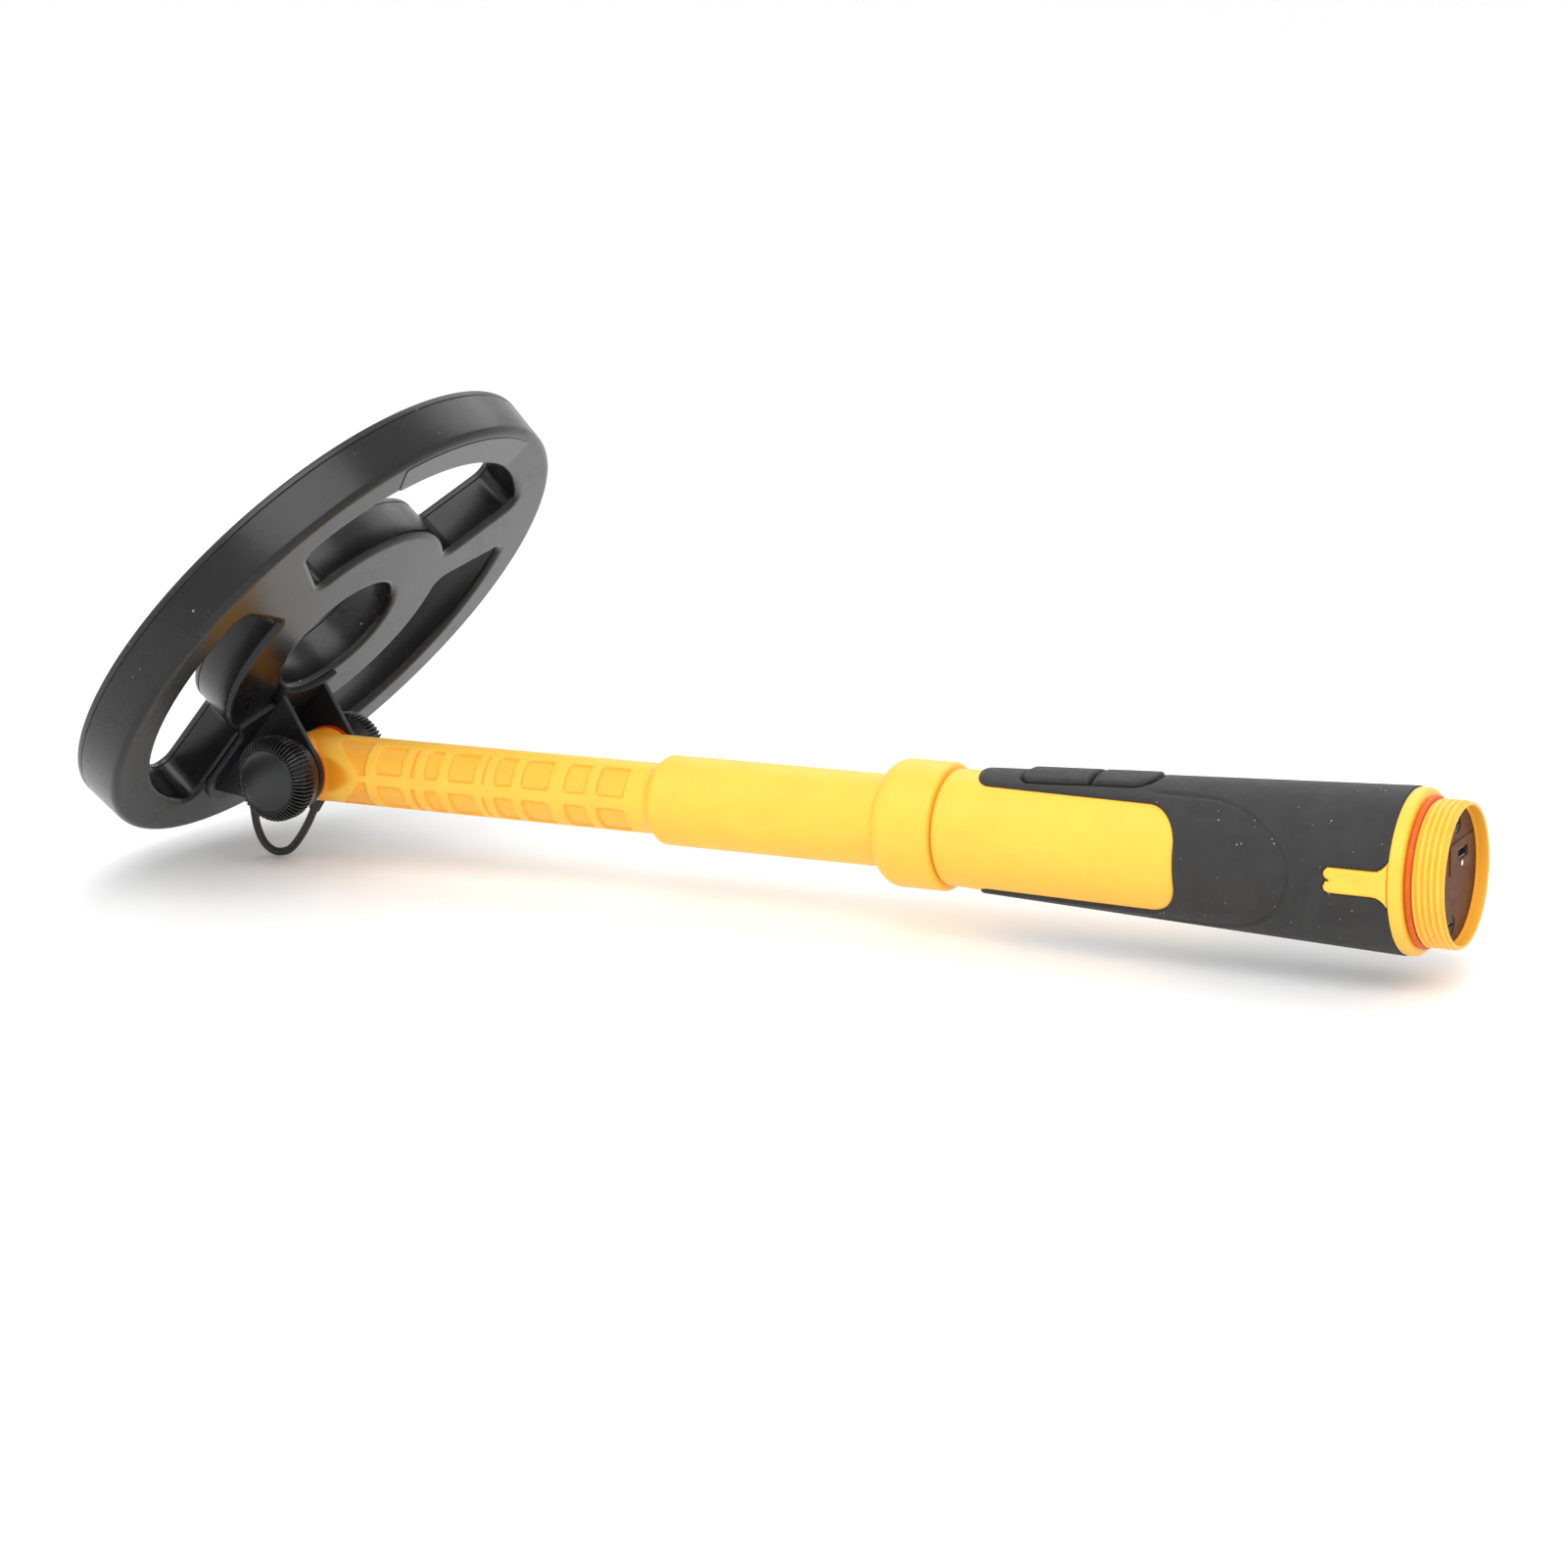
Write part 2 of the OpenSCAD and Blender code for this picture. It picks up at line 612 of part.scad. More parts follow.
module coil_cover() color("#232325") in_coil() difference() {
    rotate_extrude() polygon([
        [hub_hole_r, coil_t - cover_t],
        [coil_r + coil_draft * (coil_t - cover_t) / coil_t, coil_t - cover_t],
        [coil_r + coil_draft, coil_t - 1], [coil_r + coil_draft - 1, coil_t],
        [hub_hole_r + 0.8, coil_t], [hub_hole_r, coil_t - 0.8]
    ]);
    coil_slots();
}

module winding(r, w, h) color("#b5702e") in_coil() translate([0, 0, shell_t]) difference() {
    cylinder(r = r + w / 2, h = h);
    translate([0, 0, -1]) cylinder(r = r - w / 2, h = h + 2);
}

module ring_winding() winding(93.75, 4.5, 4.5);
module hub_winding() winding(43.5, 5, 4.5);

module coil_board() color("#1f6b3a") in_coil() difference() {
    translate([-79, -11, shell_t]) cube([26, 22, 1.6]);
    for (x = [-76.5, -55.5], y = [-8.5, 8.5]) translate([x, y, shell_t - 1]) cylinder(r = 1.1, h = 4);
}

module coil_label() color("#3d3e42") in_coil() translate([0, 0, -0.3]) linear_extrude(0.3) intersection() {
    difference() {
        circle(r = coil_r - 3.2);
        circle(r = ring_r + 1.2);
    }
    wedge_sector(2 * coil_r, -23, 23);
}

// ---- Bracket and fold hardware ----

// Point on the ear's head circle where the line from a base point touches it
function head_touch(p, side) =
    let (c = [-coil_a, -coil_h], d = p - c, m = norm(d), b = atan2(d[1], d[0]))
    c + pol(ear_r, b + side * acos(ear_r / m));

module ear_2d() {
    front = [-26, -bracket_base_t + eps];
    rear = [-76, -bracket_base_t + eps];
    polygon([front, head_touch(front, -1), [-coil_a, -coil_h], head_touch(rear, 1), rear]);
    translate([-coil_a, -coil_h]) circle(r = ear_r);
}

module bracket_plan_2d() {
    half = [[-26, ear_out], [-31, ear_out], [-39.5, 27], [-46.5, 20], [-72, 20], [-80, 13], [-84, 5]];
    difference() {
        polygon(concat(half, flipped(half)));
        circle(r = hub_hole_r + 1.5);
    }
}

module ear_bracket() color("#1e1e20") in_coil() difference() {
    union() {
        translate([0, 0, -bracket_base_t]) linear_extrude(bracket_base_t) bracket_plan_2d();
        for (s = [-1, 1]) translate([0, s * (ear_out - ear_t / 2) + ear_t / 2, 0]) rotate([90, 0, 0])
            linear_extrude(ear_t) ear_2d();
    }
    translate([-coil_a, 0, -coil_h]) along_y(-20) cylinder(r = bolt_r + 0.05, h = 40);
    for (x = bracket_screw_x) translate([x, 0, -5]) {
        cylinder(r = 1.7, h = 8);
        cylinder(r = 3.2, h = 4.2);
    }
    gland_seat() cylinder(r = 2.9, h = 30, center = true);
}

module bracket_screws() color("#8b8d90") in_coil() for (x = bracket_screw_x) translate([x, 0, 0]) difference() {
    union() {
        translate([0, 0, -0.85]) cylinder(r = bracket_screw_r, h = bracket_screw_depth + 0.85);
        translate([0, 0, -1.9]) cylinder(r = 3, h = 1.1);
    }
    translate([-2, -0.4, -2]) cube([4, 0.8, 0.8]);
    translate([-0.4, -2, -2]) cube([0.8, 4, 0.8]);
}

module friction_washers() color(orange_red) from_pivot() for (s = [-1, 1])
    scale([1, s, 1]) along_y(tongue_half + 0.12) difference() {
        cylinder(r = washer_r, h = ear_out - ear_t - tongue_half - 0.12);
        translate([0, 0, -1]) cylinder(r = bolt_r + 0.4, h = 4);
    }

// Frame at the lead's start on the coil, with +Z back into the bracket, in the coil's frame
module gland_seat() {
    first = lead_route[0];
    next = lead_route[1];
    lean = atan2(first[0] - next[0], first[1] - next[1]) + fold;
    p = [first[0] * cos(fold) + first[1] * sin(fold), first[1] * cos(fold) - first[0] * sin(fold)];
    translate([p[0] - coil_a, 0, p[1] - coil_h]) rotate([0, lean, 0]) children();
}

module coil_gland() color(black) in_coil() intersection() {
    gland_seat() union() {
        cylinder(r1 = 2, r2 = 2.7, h = 4.5);
        translate([0, 0, 4.4]) cylinder(r = 2.7, h = 8);
    }
    translate([-100, -10, -12]) cube([60, 20, 12 - 0.02]);
}

// Tube of constant radius swept along a route in the fold plane
function route_dir(r, i) =
    let (a = r[max(i - 1, 0)], b = r[min(i + 1, len(r) - 1)]) (b - a) / norm(b - a);
function route_ring(p, d, r, n) = [
    for (k = [0:n - 1])
        let (a = 360 * k / n) [p[0] - d[1] * r * cos(a), r * sin(a), p[1] + d[0] * r * cos(a)]
];

module swept_tube(route, r, n) {
    count = len(route);
    points = [for (i = [0:count - 1]) each route_ring(route[i], route_dir(route, i), r, n)];
    sides = [
        for (i = [0:count - 2], k = [0:n - 1])
            [i * n + k, i * n + (k + 1) % n, (i + 1) * n + (k + 1) % n, (i + 1) * n + k]
    ];
    polyhedron(points, concat([[for (k = [n - 1:-1:0]) k]], sides,
        [[for (k = [0:n - 1]) (count - 1) * n + k]]));
}

module coil_lead() color("#2f2f31") from_pivot() swept_tube(lead_route, lead_r, 8);

// ---- Knobs ----

module knob_body() {
    rotate([-90, 0, 0]) rotate_extrude() polygon(knob_outline);
    for (i = [0:knob_ribs - 1]) rotate([0, i * 360 / knob_ribs, 0])
        translate([knob_r - 1.2, 19.6, -0.45]) cube([1.2, 5.3, 0.9]);
}

module near_knob() color("#262628") from_pivot() mirror([0, 1, 0]) difference() {
    knob_body();
    along_y(10) cylinder(r = bolt_r + 0.02, h = 12);
    along_y(19.9) cylinder(r = 5.55, h = 4.5, $fn = 6);
}

module pivot_bolt() color("#9a9da0") from_pivot() {
    along_y(-20) cylinder(r = bolt_r, h = 42);
    mirror([0, 1, 0]) along_y(19.95) cylinder(r = 5.5, h = 4.4, $fn = 6);
}

module far_knob() color("#262628") from_pivot() difference() {
    knob_body();
    along_y(10) cylinder(r = 5, h = 14);
}

module far_insert() color("#b08d4a") from_pivot() along_y(14) difference() {
    cylinder(r = 4.98, h = 9.9);
    translate([0, 0, -1]) cylinder(r = bolt_r + 0.05, h = 9.6);
}

shaft();
front_o_ring();
shaft_plug();
shaft_cable();
lead_grommet();
handle_housing();
rubber_grip();
led_window();
status_led();
switch_board();
tact_switches();
main_board();
handle_socket();
vibration_motor();
buzzer();
battery_cradle();
battery_cell();
battery_contacts();
rear_bulkhead();
bulkhead_screws();
charge_board();
charge_socket();
charge_lens();
rear_o_ring();
power_button();
mode_button();
coil_shell();
coil_cover();
ring_winding();
hub_winding();
coil_board();
ear_bracket();
bracket_screws();
friction_washers();
coil_gland();
coil_label();
coil_lead();
near_knob();
pivot_bolt();
far_knob();
far_insert();
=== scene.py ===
import math
import bpy
import bmesh
import numpy as np
from mathutils import Matrix, Vector
from mathutils.geometry import tessellate_polygon


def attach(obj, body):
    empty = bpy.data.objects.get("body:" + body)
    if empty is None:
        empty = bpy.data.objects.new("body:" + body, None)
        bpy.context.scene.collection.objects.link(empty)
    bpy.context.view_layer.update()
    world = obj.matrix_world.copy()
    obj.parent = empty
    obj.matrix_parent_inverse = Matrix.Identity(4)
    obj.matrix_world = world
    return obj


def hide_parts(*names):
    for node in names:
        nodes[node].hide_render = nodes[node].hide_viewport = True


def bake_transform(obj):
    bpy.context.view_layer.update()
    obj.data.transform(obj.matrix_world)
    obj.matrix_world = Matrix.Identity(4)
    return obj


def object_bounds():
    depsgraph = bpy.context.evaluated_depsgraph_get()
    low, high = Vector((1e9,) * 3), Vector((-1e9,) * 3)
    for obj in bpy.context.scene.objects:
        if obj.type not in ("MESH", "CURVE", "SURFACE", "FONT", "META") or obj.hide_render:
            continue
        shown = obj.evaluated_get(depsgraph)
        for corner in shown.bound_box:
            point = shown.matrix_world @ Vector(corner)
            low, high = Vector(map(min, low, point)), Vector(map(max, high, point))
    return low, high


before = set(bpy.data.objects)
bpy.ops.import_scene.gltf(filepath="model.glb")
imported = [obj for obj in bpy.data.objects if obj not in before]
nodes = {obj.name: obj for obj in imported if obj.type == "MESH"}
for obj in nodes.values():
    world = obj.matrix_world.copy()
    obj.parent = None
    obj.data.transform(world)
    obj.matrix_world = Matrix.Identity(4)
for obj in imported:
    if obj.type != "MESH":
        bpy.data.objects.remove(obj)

cad_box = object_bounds()

# Sizes in millimetres, as in the CAD. x runs from the fold pivot along the handle, and z towards the buttons.
NECK_END = 429.4
# Fold angle at rest, how far the coil's centre is along and above the pivot once folded, and its thickness
FOLD = math.radians(48)
COIL_ALONG, COIL_ABOVE, COIL_T = 46.0, 21.5, 19.0
# Shaft: ribbed front tube, middle tube and collar
SHAFT_R, MID_R, COLLAR_R = 12.2, 15.4, 21.2
RIBBED_END, COVE_X, SHOULDER_X, COLLAR_END = 142.0, 233.4, 240.6, 256.8
SHOULDER_R, COLLAR_EDGE_R = 6.5, 1.4
TONGUE_HALF = 10.0
PANEL_DEPTH, RECESS_DEPTH = 0.95, 0.8
# Handle cone, the rubber over it, and the yellow window through the rubber
GRIP_X, GRIP_R = (257.0, 413.0), (19.1, 25.3)
PROUD, UNDER_RUBBER = 0.9, 0.9
RUBBER = (264.0, 412.8)
WINDOW_HALF, WINDOW_END, WINDOW_CORNER = 17.3, 342.3, 11.0
# Rear end: flange, O-ring seat and thread
FLANGE_R, RING_SEAT_R = 25.9, 21.7
THREAD_X, THREAD_PITCH, THREAD_ROOT, THREAD_CREST = 418.05, 1.97, 22.2, 22.9
# Panels between the hoops of the ribbed tube
PANELS = ((35.7, 46.7), (50.4, 51.9), (56, 62), (66, 77), (80.2, 81.2),
          (85, 92.6), (96.4, 107.6), (113.6, 122.6), (126.7, 137.9))
BUTTONS = ((284.0, 308.3), (309.1, 330.0))
# Forked tab on the camera's side of the handle
TAB_X, TAB_HALF, TAB_Z, TAB_LOBE_R, TAB_FILLET = (392.3, 413.0), 3.9, 1.1, 1.9, 5.5
# Lead as (x, z), from the coil's gland down and back up to the shaft's grommet
LEAD_ROUTE = ((-28.5, -9), (-28, -14), (-27.5, -20), (-26.5, -25.5), (-24, -30.5), (-20.5, -33),
              (-17, -33.5), (-13, -32.3), (-9.5, -29.3), (-6, -25), (-3, -20.5), (-0.5, -16))
LEAD_R = 1.45


# ---- Camera ----

cam_data = bpy.data.cameras.new("camera")
cam = bpy.data.objects.new("camera", cam_data)
bpy.context.scene.collection.objects.link(cam)
right = Vector((0.8780, 0.4778, -0.0298))
up = Vector((-0.0802, 0.2083, 0.9748))
back = Vector((0.4719, -0.8534, 0.2212))
turn = Matrix((right, up, back)).transposed().to_4x4()
cam.matrix_world = Matrix.Translation((0.3188, -1.0025, 0.2690)) @ turn
cam_data.sensor_width = 36
cam_data.lens = 80.72
cam_data.clip_start = 0.01
cam_data.clip_end = 60
bpy.context.scene.camera = cam


# ---- Mesh helpers ----

def to_row(points):
    """Points in millimetres from the pivot, as metres in the row frame."""
    p = np.asarray(points, float).reshape(-1, 3).copy()
    p[:, 0] -= NECK_END
    return p / 1000


def coil_to_row(points):
    """Points in the coil's own frame, in millimetres, as metres in the row frame."""
    p = np.asarray(points, float).reshape(-1, 3)
    x, z = p[:, 0] + COIL_ALONG, p[:, 2] + COIL_ABOVE
    c, s = math.cos(FOLD), math.sin(FOLD)
    return to_row(np.stack([x * c - z * s, p[:, 1], x * s + z * c], 1))


def make(name, verts, faces, body, material, smooth=35, painted_shade=None):
    """A smooth-shaded piece. The per-vertex share, 0 to 1, is how much of the deeper colour painted in as
    shade shows.
    """
    mesh = bpy.data.meshes.new(name)
    mesh.from_pydata([tuple(v) for v in verts], [], [tuple(f) for f in faces])
    if painted_shade is not None:
        layer = mesh.attributes.new("painted_shade", "FLOAT", "POINT")
        layer.data.foreach_set("value", np.asarray(painted_shade, np.float32))
    bm = bmesh.new()
    bm.from_mesh(mesh)
    bmesh.ops.remove_doubles(bm, verts=bm.verts, dist=2e-6)
    bmesh.ops.dissolve_degenerate(bm, edges=bm.edges, dist=1e-7)
    bmesh.ops.recalc_face_normals(bm, faces=bm.faces)
    bm.to_mesh(mesh)
    bm.free()
    mesh.shade_smooth()
    mesh.set_sharp_from_angle(angle=math.radians(smooth))
    obj = bpy.data.objects.new(name, mesh)
    bpy.context.scene.collection.objects.link(obj)
    mesh.materials.append(material)
    if body:
        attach(obj, body)
    return obj


def rings_to_mesh(rings, close_rows=True, cap_ends=False):
    """Quads between rings that each have the same number of points; each ring is closed."""
    n, m = len(rings), len(rings[0])
    verts = np.concatenate(rings)
    faces = []
    rows = n if close_rows else n - 1
    for i in range(rows):
        a, b = i * m, ((i + 1) % n) * m
        for k in range(m):
            after = (k + 1) % m
            faces.append((a + k, a + after, b + after, b + k))
    if cap_ends:
        faces.append(tuple(range(m))[::-1])
        faces.append(tuple(range((n - 1) * m, n * m)))
    return verts, faces


def around(x, radius, angles):
    """A ring about the handle axis. Angle 0 is the buttons' side and 90 degrees is the camera's side."""
    r = np.broadcast_to(radius, angles.shape)
    return np.stack([np.full(angles.shape, float(x)), -r * np.sin(angles), r * np.cos(angles)], 1)


def ease(t):
    """0 to 1 with level ends."""
    t = np.clip(t, 0, 1)
    return t * t * (3 - 2 * t)


def rounded_box(u, v, hu, hv, r):
    """Signed distance to a rounded rectangle centred at 0; negative inside."""
    qu, qv = np.abs(u) - hu + r, np.abs(v) - hv + r
    return np.hypot(np.maximum(qu, 0), np.maximum(qv, 0)) + np.minimum(np.maximum(qu, qv), 0) - r


def soft_min(*limits, sharpness=70.0):
    """Smallest of the limits, with the corners between them slightly rounded."""
    least = np.minimum.reduce(limits)
    return least * np.power(sum(np.power(least / v, sharpness) for v in limits), -1 / sharpness)


def stations(lo, hi, step, marks=(), near=1.2, fine=0.3):
    """Positions from lo to hi, closer together round each mark."""
    base = np.linspace(lo, hi, max(2, int(round((hi - lo) / step)) + 1))
    extra = [np.arange(m - near, m + near + 1e-6, fine) for m in marks]
    xs = np.unique(np.round(np.concatenate([base] + extra), 3))
    xs = xs[(xs >= lo - 1e-9) & (xs <= hi + 1e-9)]
    keep = [xs[0]]
    for x in xs[1:]:
        if x - keep[-1] > fine * 0.45:
            keep.append(x)
    keep[-1] = xs[-1]
    return np.array(keep)


def grip_at(x):
    """Radius of the handle cone at x."""
    return GRIP_R[0] + (GRIP_R[1] - GRIP_R[0]) * (x - GRIP_X[0]) / (GRIP_X[1] - GRIP_X[0])


# ---- Materials ----

DUST = (0.6, 0.58, 0.55, 1)


def material(name, base, rough, *, metallic=0.0, mottle=0.04, mottle_mm=6.0, rough_spread=0.06,
             bump=0.05, bump_mm=0.5, specks=0.0, speck_mm=1.6,
             scuff=0.0, coat=0.0, spec=0.5, sheen=0.0, painted_shade_color=None, speck_share=0.60):
    """Plastic, rubber or metal with mottled colour, uneven gloss, fine grain, dust specks and scuffs, and
    where given, a deeper colour painted in as shade by a per-vertex share.
    """
    mat = bpy.data.materials.new(name)
    mat.use_nodes = True
    nt = mat.node_tree
    bsdf = nt.nodes["Principled BSDF"]
    bsdf.inputs["Metallic"].default_value = metallic
    bsdf.inputs["Specular IOR Level"].default_value = spec
    bsdf.inputs["Coat Weight"].default_value = coat
    bsdf.inputs["Coat Roughness"].default_value = 0.12
    bsdf.inputs["Sheen Weight"].default_value = sheen
    coords = nt.nodes.new("ShaderNodeTexCoord")

    def noise(size_mm, detail=3.0, rough_n=0.55):
        n = nt.nodes.new("ShaderNodeTexNoise")
        n.inputs["Scale"].default_value = 1000.0 / size_mm
        n.inputs["Detail"].default_value = detail
        n.inputs["Roughness"].default_value = rough_n
        nt.links.new(coords.outputs["Object"], n.inputs["Vector"])
        return n.outputs["Fac"]

    def ramp(value, lo, hi, out_lo, out_hi):
        m = nt.nodes.new("ShaderNodeMapRange")
        m.inputs["From Min"].default_value = lo
        m.inputs["From Max"].default_value = hi
        m.inputs["To Min"].default_value = out_lo
        m.inputs["To Max"].default_value = out_hi
        nt.links.new(value, m.inputs["Value"])
        return m.outputs["Result"]

    def mix(fac, a, b):
        m = nt.nodes.new("ShaderNodeMix")
        m.data_type = "RGBA"
        for sock, v in ((m.inputs["Factor"], fac), (m.inputs["A"], a), (m.inputs["B"], b)):
            if hasattr(v, "is_linked"):
                nt.links.new(v, sock)
            else:
                sock.default_value = v
        return m.outputs["Result"]

    dark = tuple(c * (1 - mottle) for c in base) + (1,)
    light = tuple(min(1, c * (1 + mottle)) for c in base) + (1,)
    color = mix(ramp(noise(mottle_mm), 0.35, 0.65, 0, 1), dark, light)
    # Painted shade: a deeper colour mixed in by the per-vertex share
    if painted_shade_color:
        painted_shade = nt.nodes.new("ShaderNodeAttribute")
        painted_shade.attribute_name = "painted_shade"
        color = mix(painted_shade.outputs["Fac"], color, tuple(painted_shade_color) + (1,))
    rough_value = ramp(noise(mottle_mm * 0.7, 4.0), 0.3, 0.7, rough - rough_spread, rough + rough_spread)
    if scuff:
        stretch = nt.nodes.new("ShaderNodeMapping")
        stretch.inputs["Scale"].default_value = (90, 1400, 500)
        stretch.inputs["Rotation"].default_value = (0.3, 0.9, 0.6)
        nt.links.new(coords.outputs["Object"], stretch.inputs["Vector"])
        lines = nt.nodes.new("ShaderNodeTexNoise")
        lines.inputs["Scale"].default_value = 1.0
        lines.inputs["Detail"].default_value = 2.0
        nt.links.new(stretch.outputs["Vector"], lines.inputs["Vector"])
        worn = ramp(lines.outputs["Fac"], 0.66, 0.74, 0, scuff)
        color = mix(worn, color, tuple(min(1, c * 1.6 + 0.015) for c in base) + (1,))
    if specks:
        dots = nt.nodes.new("ShaderNodeTexVoronoi")
        dots.inputs["Scale"].default_value = 1000.0 / speck_mm
        nt.links.new(coords.outputs["Object"], dots.inputs["Vector"])
        dot = ramp(dots.outputs["Distance"], 0.05, 0.11, 1, 0)
        rare = ramp(noise(speck_mm * 2.3, 1.0), speck_share, speck_share + 0.06, 0, specks)
        both = nt.nodes.new("ShaderNodeMath")
        both.operation = "MULTIPLY"
        nt.links.new(dot, both.inputs[0])
        nt.links.new(rare, both.inputs[1])
        color = mix(both.outputs[0], color, DUST)
    nt.links.new(color, bsdf.inputs["Base Color"])
    nt.links.new(rough_value, bsdf.inputs["Roughness"])
    if bump:
        b = nt.nodes.new("ShaderNodeBump")
        b.inputs["Strength"].default_value = bump
        b.inputs["Distance"].default_value = 0.0002
        nt.links.new(noise(bump_mm, 4.0, 0.6), b.inputs["Height"])
        nt.links.new(b.outputs["Normal"], bsdf.inputs["Normal"])
    return mat


# The deeper orange is painted shade for the shaft's recesses and tongue, the thread's grooves and the bore
YELLOW = material("yellow_plastic", (0.98, 0.54, 0.058), 0.40, mottle=0.03, mottle_mm=14,
                  bump=0.06, bump_mm=0.6, spec=0.4, painted_shade_color=(0.96, 0.33, 0.014))
RUBBER_GREY = material("dusty_rubber", (0.030, 0.0288, 0.0288), 0.66, mottle=0.10, mottle_mm=9,
                       bump=0.22, bump_mm=0.22, specks=0.8, speck_mm=2.6, speck_share=0.54,
                       sheen=0.05, spec=0.3)
BUTTON_GREY = material("button_rubber", (0.026, 0.025, 0.025), 0.60, mottle=0.08, mottle_mm=5,
                       bump=0.2, bump_mm=0.22, specks=0.5, speck_mm=2.0, spec=0.35)
COIL_BLACK = material("coil_plastic", (0.0060, 0.0060, 0.0063), 0.26, mottle=0.10, mottle_mm=30,
                      bump=0.03, bump_mm=0.8, specks=0.4, speck_mm=5.0, rough_spread=0.03, spec=0.38)
COVER_BLACK = material("cover_plastic", (0.0080, 0.0080, 0.0084), 0.34, mottle=0.10, mottle_mm=24,
                       bump=0.06, bump_mm=0.7, specks=0.4, speck_mm=4.0, rough_spread=0.04, scuff=0.12)
EAR_BLACK = material("ear_plastic", (0.011, 0.011, 0.012), 0.36, mottle=0.10, mottle_mm=9, bump=0.05,
                     bump_mm=0.5, specks=0.4, speck_mm=3.5, rough_spread=0.04, spec=0.4)
KNOB_BLACK = material("knob_plastic", (0.012, 0.012, 0.0125), 0.34, mottle=0.10, mottle_mm=6, bump=0.06,
                      bump_mm=0.4, specks=0.3, speck_mm=2.5, rough_spread=0.03, spec=0.45)
LABEL_GREY = material("label_film", (0.030, 0.030, 0.032), 0.22, mottle=0.05, mottle_mm=8, bump=0.02,
                      bump_mm=1.2, rough_spread=0.02)
CABLE_BLACK = material("cable_jacket", (0.016, 0.016, 0.0165), 0.45, mottle=0.1, mottle_mm=3, bump=0.15,
                       bump_mm=0.3)
SOFT_BLACK = material("soft_black", (0.024, 0.024, 0.025), 0.6, bump=0.15, bump_mm=0.3)
WASHER_RED = material("washer_rubber", (0.50, 0.030, 0.010), 0.5, mottle=0.08, mottle_mm=3, bump=0.12,
                      bump_mm=0.3)
RING_ORANGE = material("o_ring_rubber", (0.66, 0.110, 0.010), 0.42, spec=0.3, mottle=0.06, mottle_mm=4,
                       bump=0.06, bump_mm=0.3)
BROWN = material("brown_plate", (0.105, 0.034, 0.010), 0.55, spec=0.2, mottle=0.2, mottle_mm=4, bump=0.2,
                 bump_mm=0.5)
BOARD = material("circuit_board", (0.02, 0.13, 0.05), 0.4, mottle=0.15, mottle_mm=2, bump=0.1)
STEEL = material("screw_steel", (0.55, 0.55, 0.56), 0.32, metallic=1.0, mottle=0.08, mottle_mm=1.5,
                 bump=0.1, bump_mm=0.2)
DARK_STEEL = material("dark_screw_steel", (0.035, 0.033, 0.032), 0.35, metallic=0.7, mottle=0.1,
                      mottle_mm=1.5, bump=0.1, bump_mm=0.2)
PLATED = material("plated_metal", (0.78, 0.78, 0.80), 0.18, metallic=1.0, mottle=0.05, mottle_mm=1.5)
COPPER = material("copper_winding", (0.62, 0.27, 0.13), 0.32, metallic=0.9, mottle=0.15, mottle_mm=1.0,
                  bump=0.3, bump_mm=0.3)
BRASS = material("insert_brass", (0.70, 0.50, 0.22), 0.3, metallic=1.0, mottle=0.08, mottle_mm=1.5)
INNER = material("inner_plastic", (0.05, 0.05, 0.052), 0.5, bump=0.1)
CELL = material("cell_wrap", (0.05, 0.16, 0.42), 0.3, mottle=0.06, mottle_mm=5, bump=0.03)
WHITE_LENS = material("white_lens", (0.85, 0.85, 0.80), 0.25, mottle=0.03, mottle_mm=1)
SMOKED = material("lamp_window", (0.055, 0.05, 0.052), 0.22, mottle=0.05, mottle_mm=2, bump=0.03, coat=0.3)

KEPT = {
    "front_o_ring": RING_ORANGE, "rear_o_ring": RING_ORANGE, "shaft_plug": INNER, "shaft_cable": CABLE_BLACK,
    "lead_grommet": SOFT_BLACK, "led_window": SMOKED, "status_led": WHITE_LENS, "switch_board": BOARD,
    "tact_switches": STEEL, "main_board": BOARD, "handle_socket": INNER, "vibration_motor": STEEL,
    "buzzer": INNER, "battery_cradle": INNER, "battery_cell": CELL, "battery_contacts": PLATED,
    "rear_bulkhead": BROWN, "bulkhead_screws": DARK_STEEL, "charge_board": BOARD, "charge_socket": PLATED,
    "charge_lens": WHITE_LENS, "ring_winding": COPPER, "hub_winding": COPPER, "coil_board": BOARD,
    "bracket_screws": STEEL, "friction_washers": WASHER_RED, "coil_gland": SOFT_BLACK,
    "pivot_bolt": KNOB_BLACK, "far_insert": BRASS,
}
for name, mat in KEPT.items():
    obj = nodes[name]
    for slot in obj.material_slots:
        slot.material = mat


# ---- Shaft: tongue, ribbed tube, middle tube and collar as one skin ----

def arc_points(cx, cr, r, a0, a1, n):
    """(x, radius) points of an arc whose angles are measured from the radius direction."""
    t = np.radians(np.linspace(a0, a1, n))
    return [(cx + r * math.sin(a), cr + r * math.cos(a)) for a in t]


rear_profile = (
    [(RIBBED_END, SHAFT_R)] + arc_points(144.2, SHAFT_R + 6.0, 6.0, 180, 162, 5)
    + arc_points(150.6, MID_R - 3.0, 3.0, -18, 0, 4) + [(COVE_X - 0.1, MID_R)]
    + arc_points(COVE_X, MID_R + 0.8, 0.8, 180, 110, 5)
    + arc_points(SHOULDER_X, COLLAR_R - SHOULDER_R, SHOULDER_R, -70, 0, 14)
    + [(COLLAR_END - 1.5, COLLAR_R)]
    + arc_points(COLLAR_END - COLLAR_EDGE_R, COLLAR_R - COLLAR_EDGE_R, COLLAR_EDGE_R, 0, 85, 8)
)
profile_x, profile_r = np.array(rear_profile).T


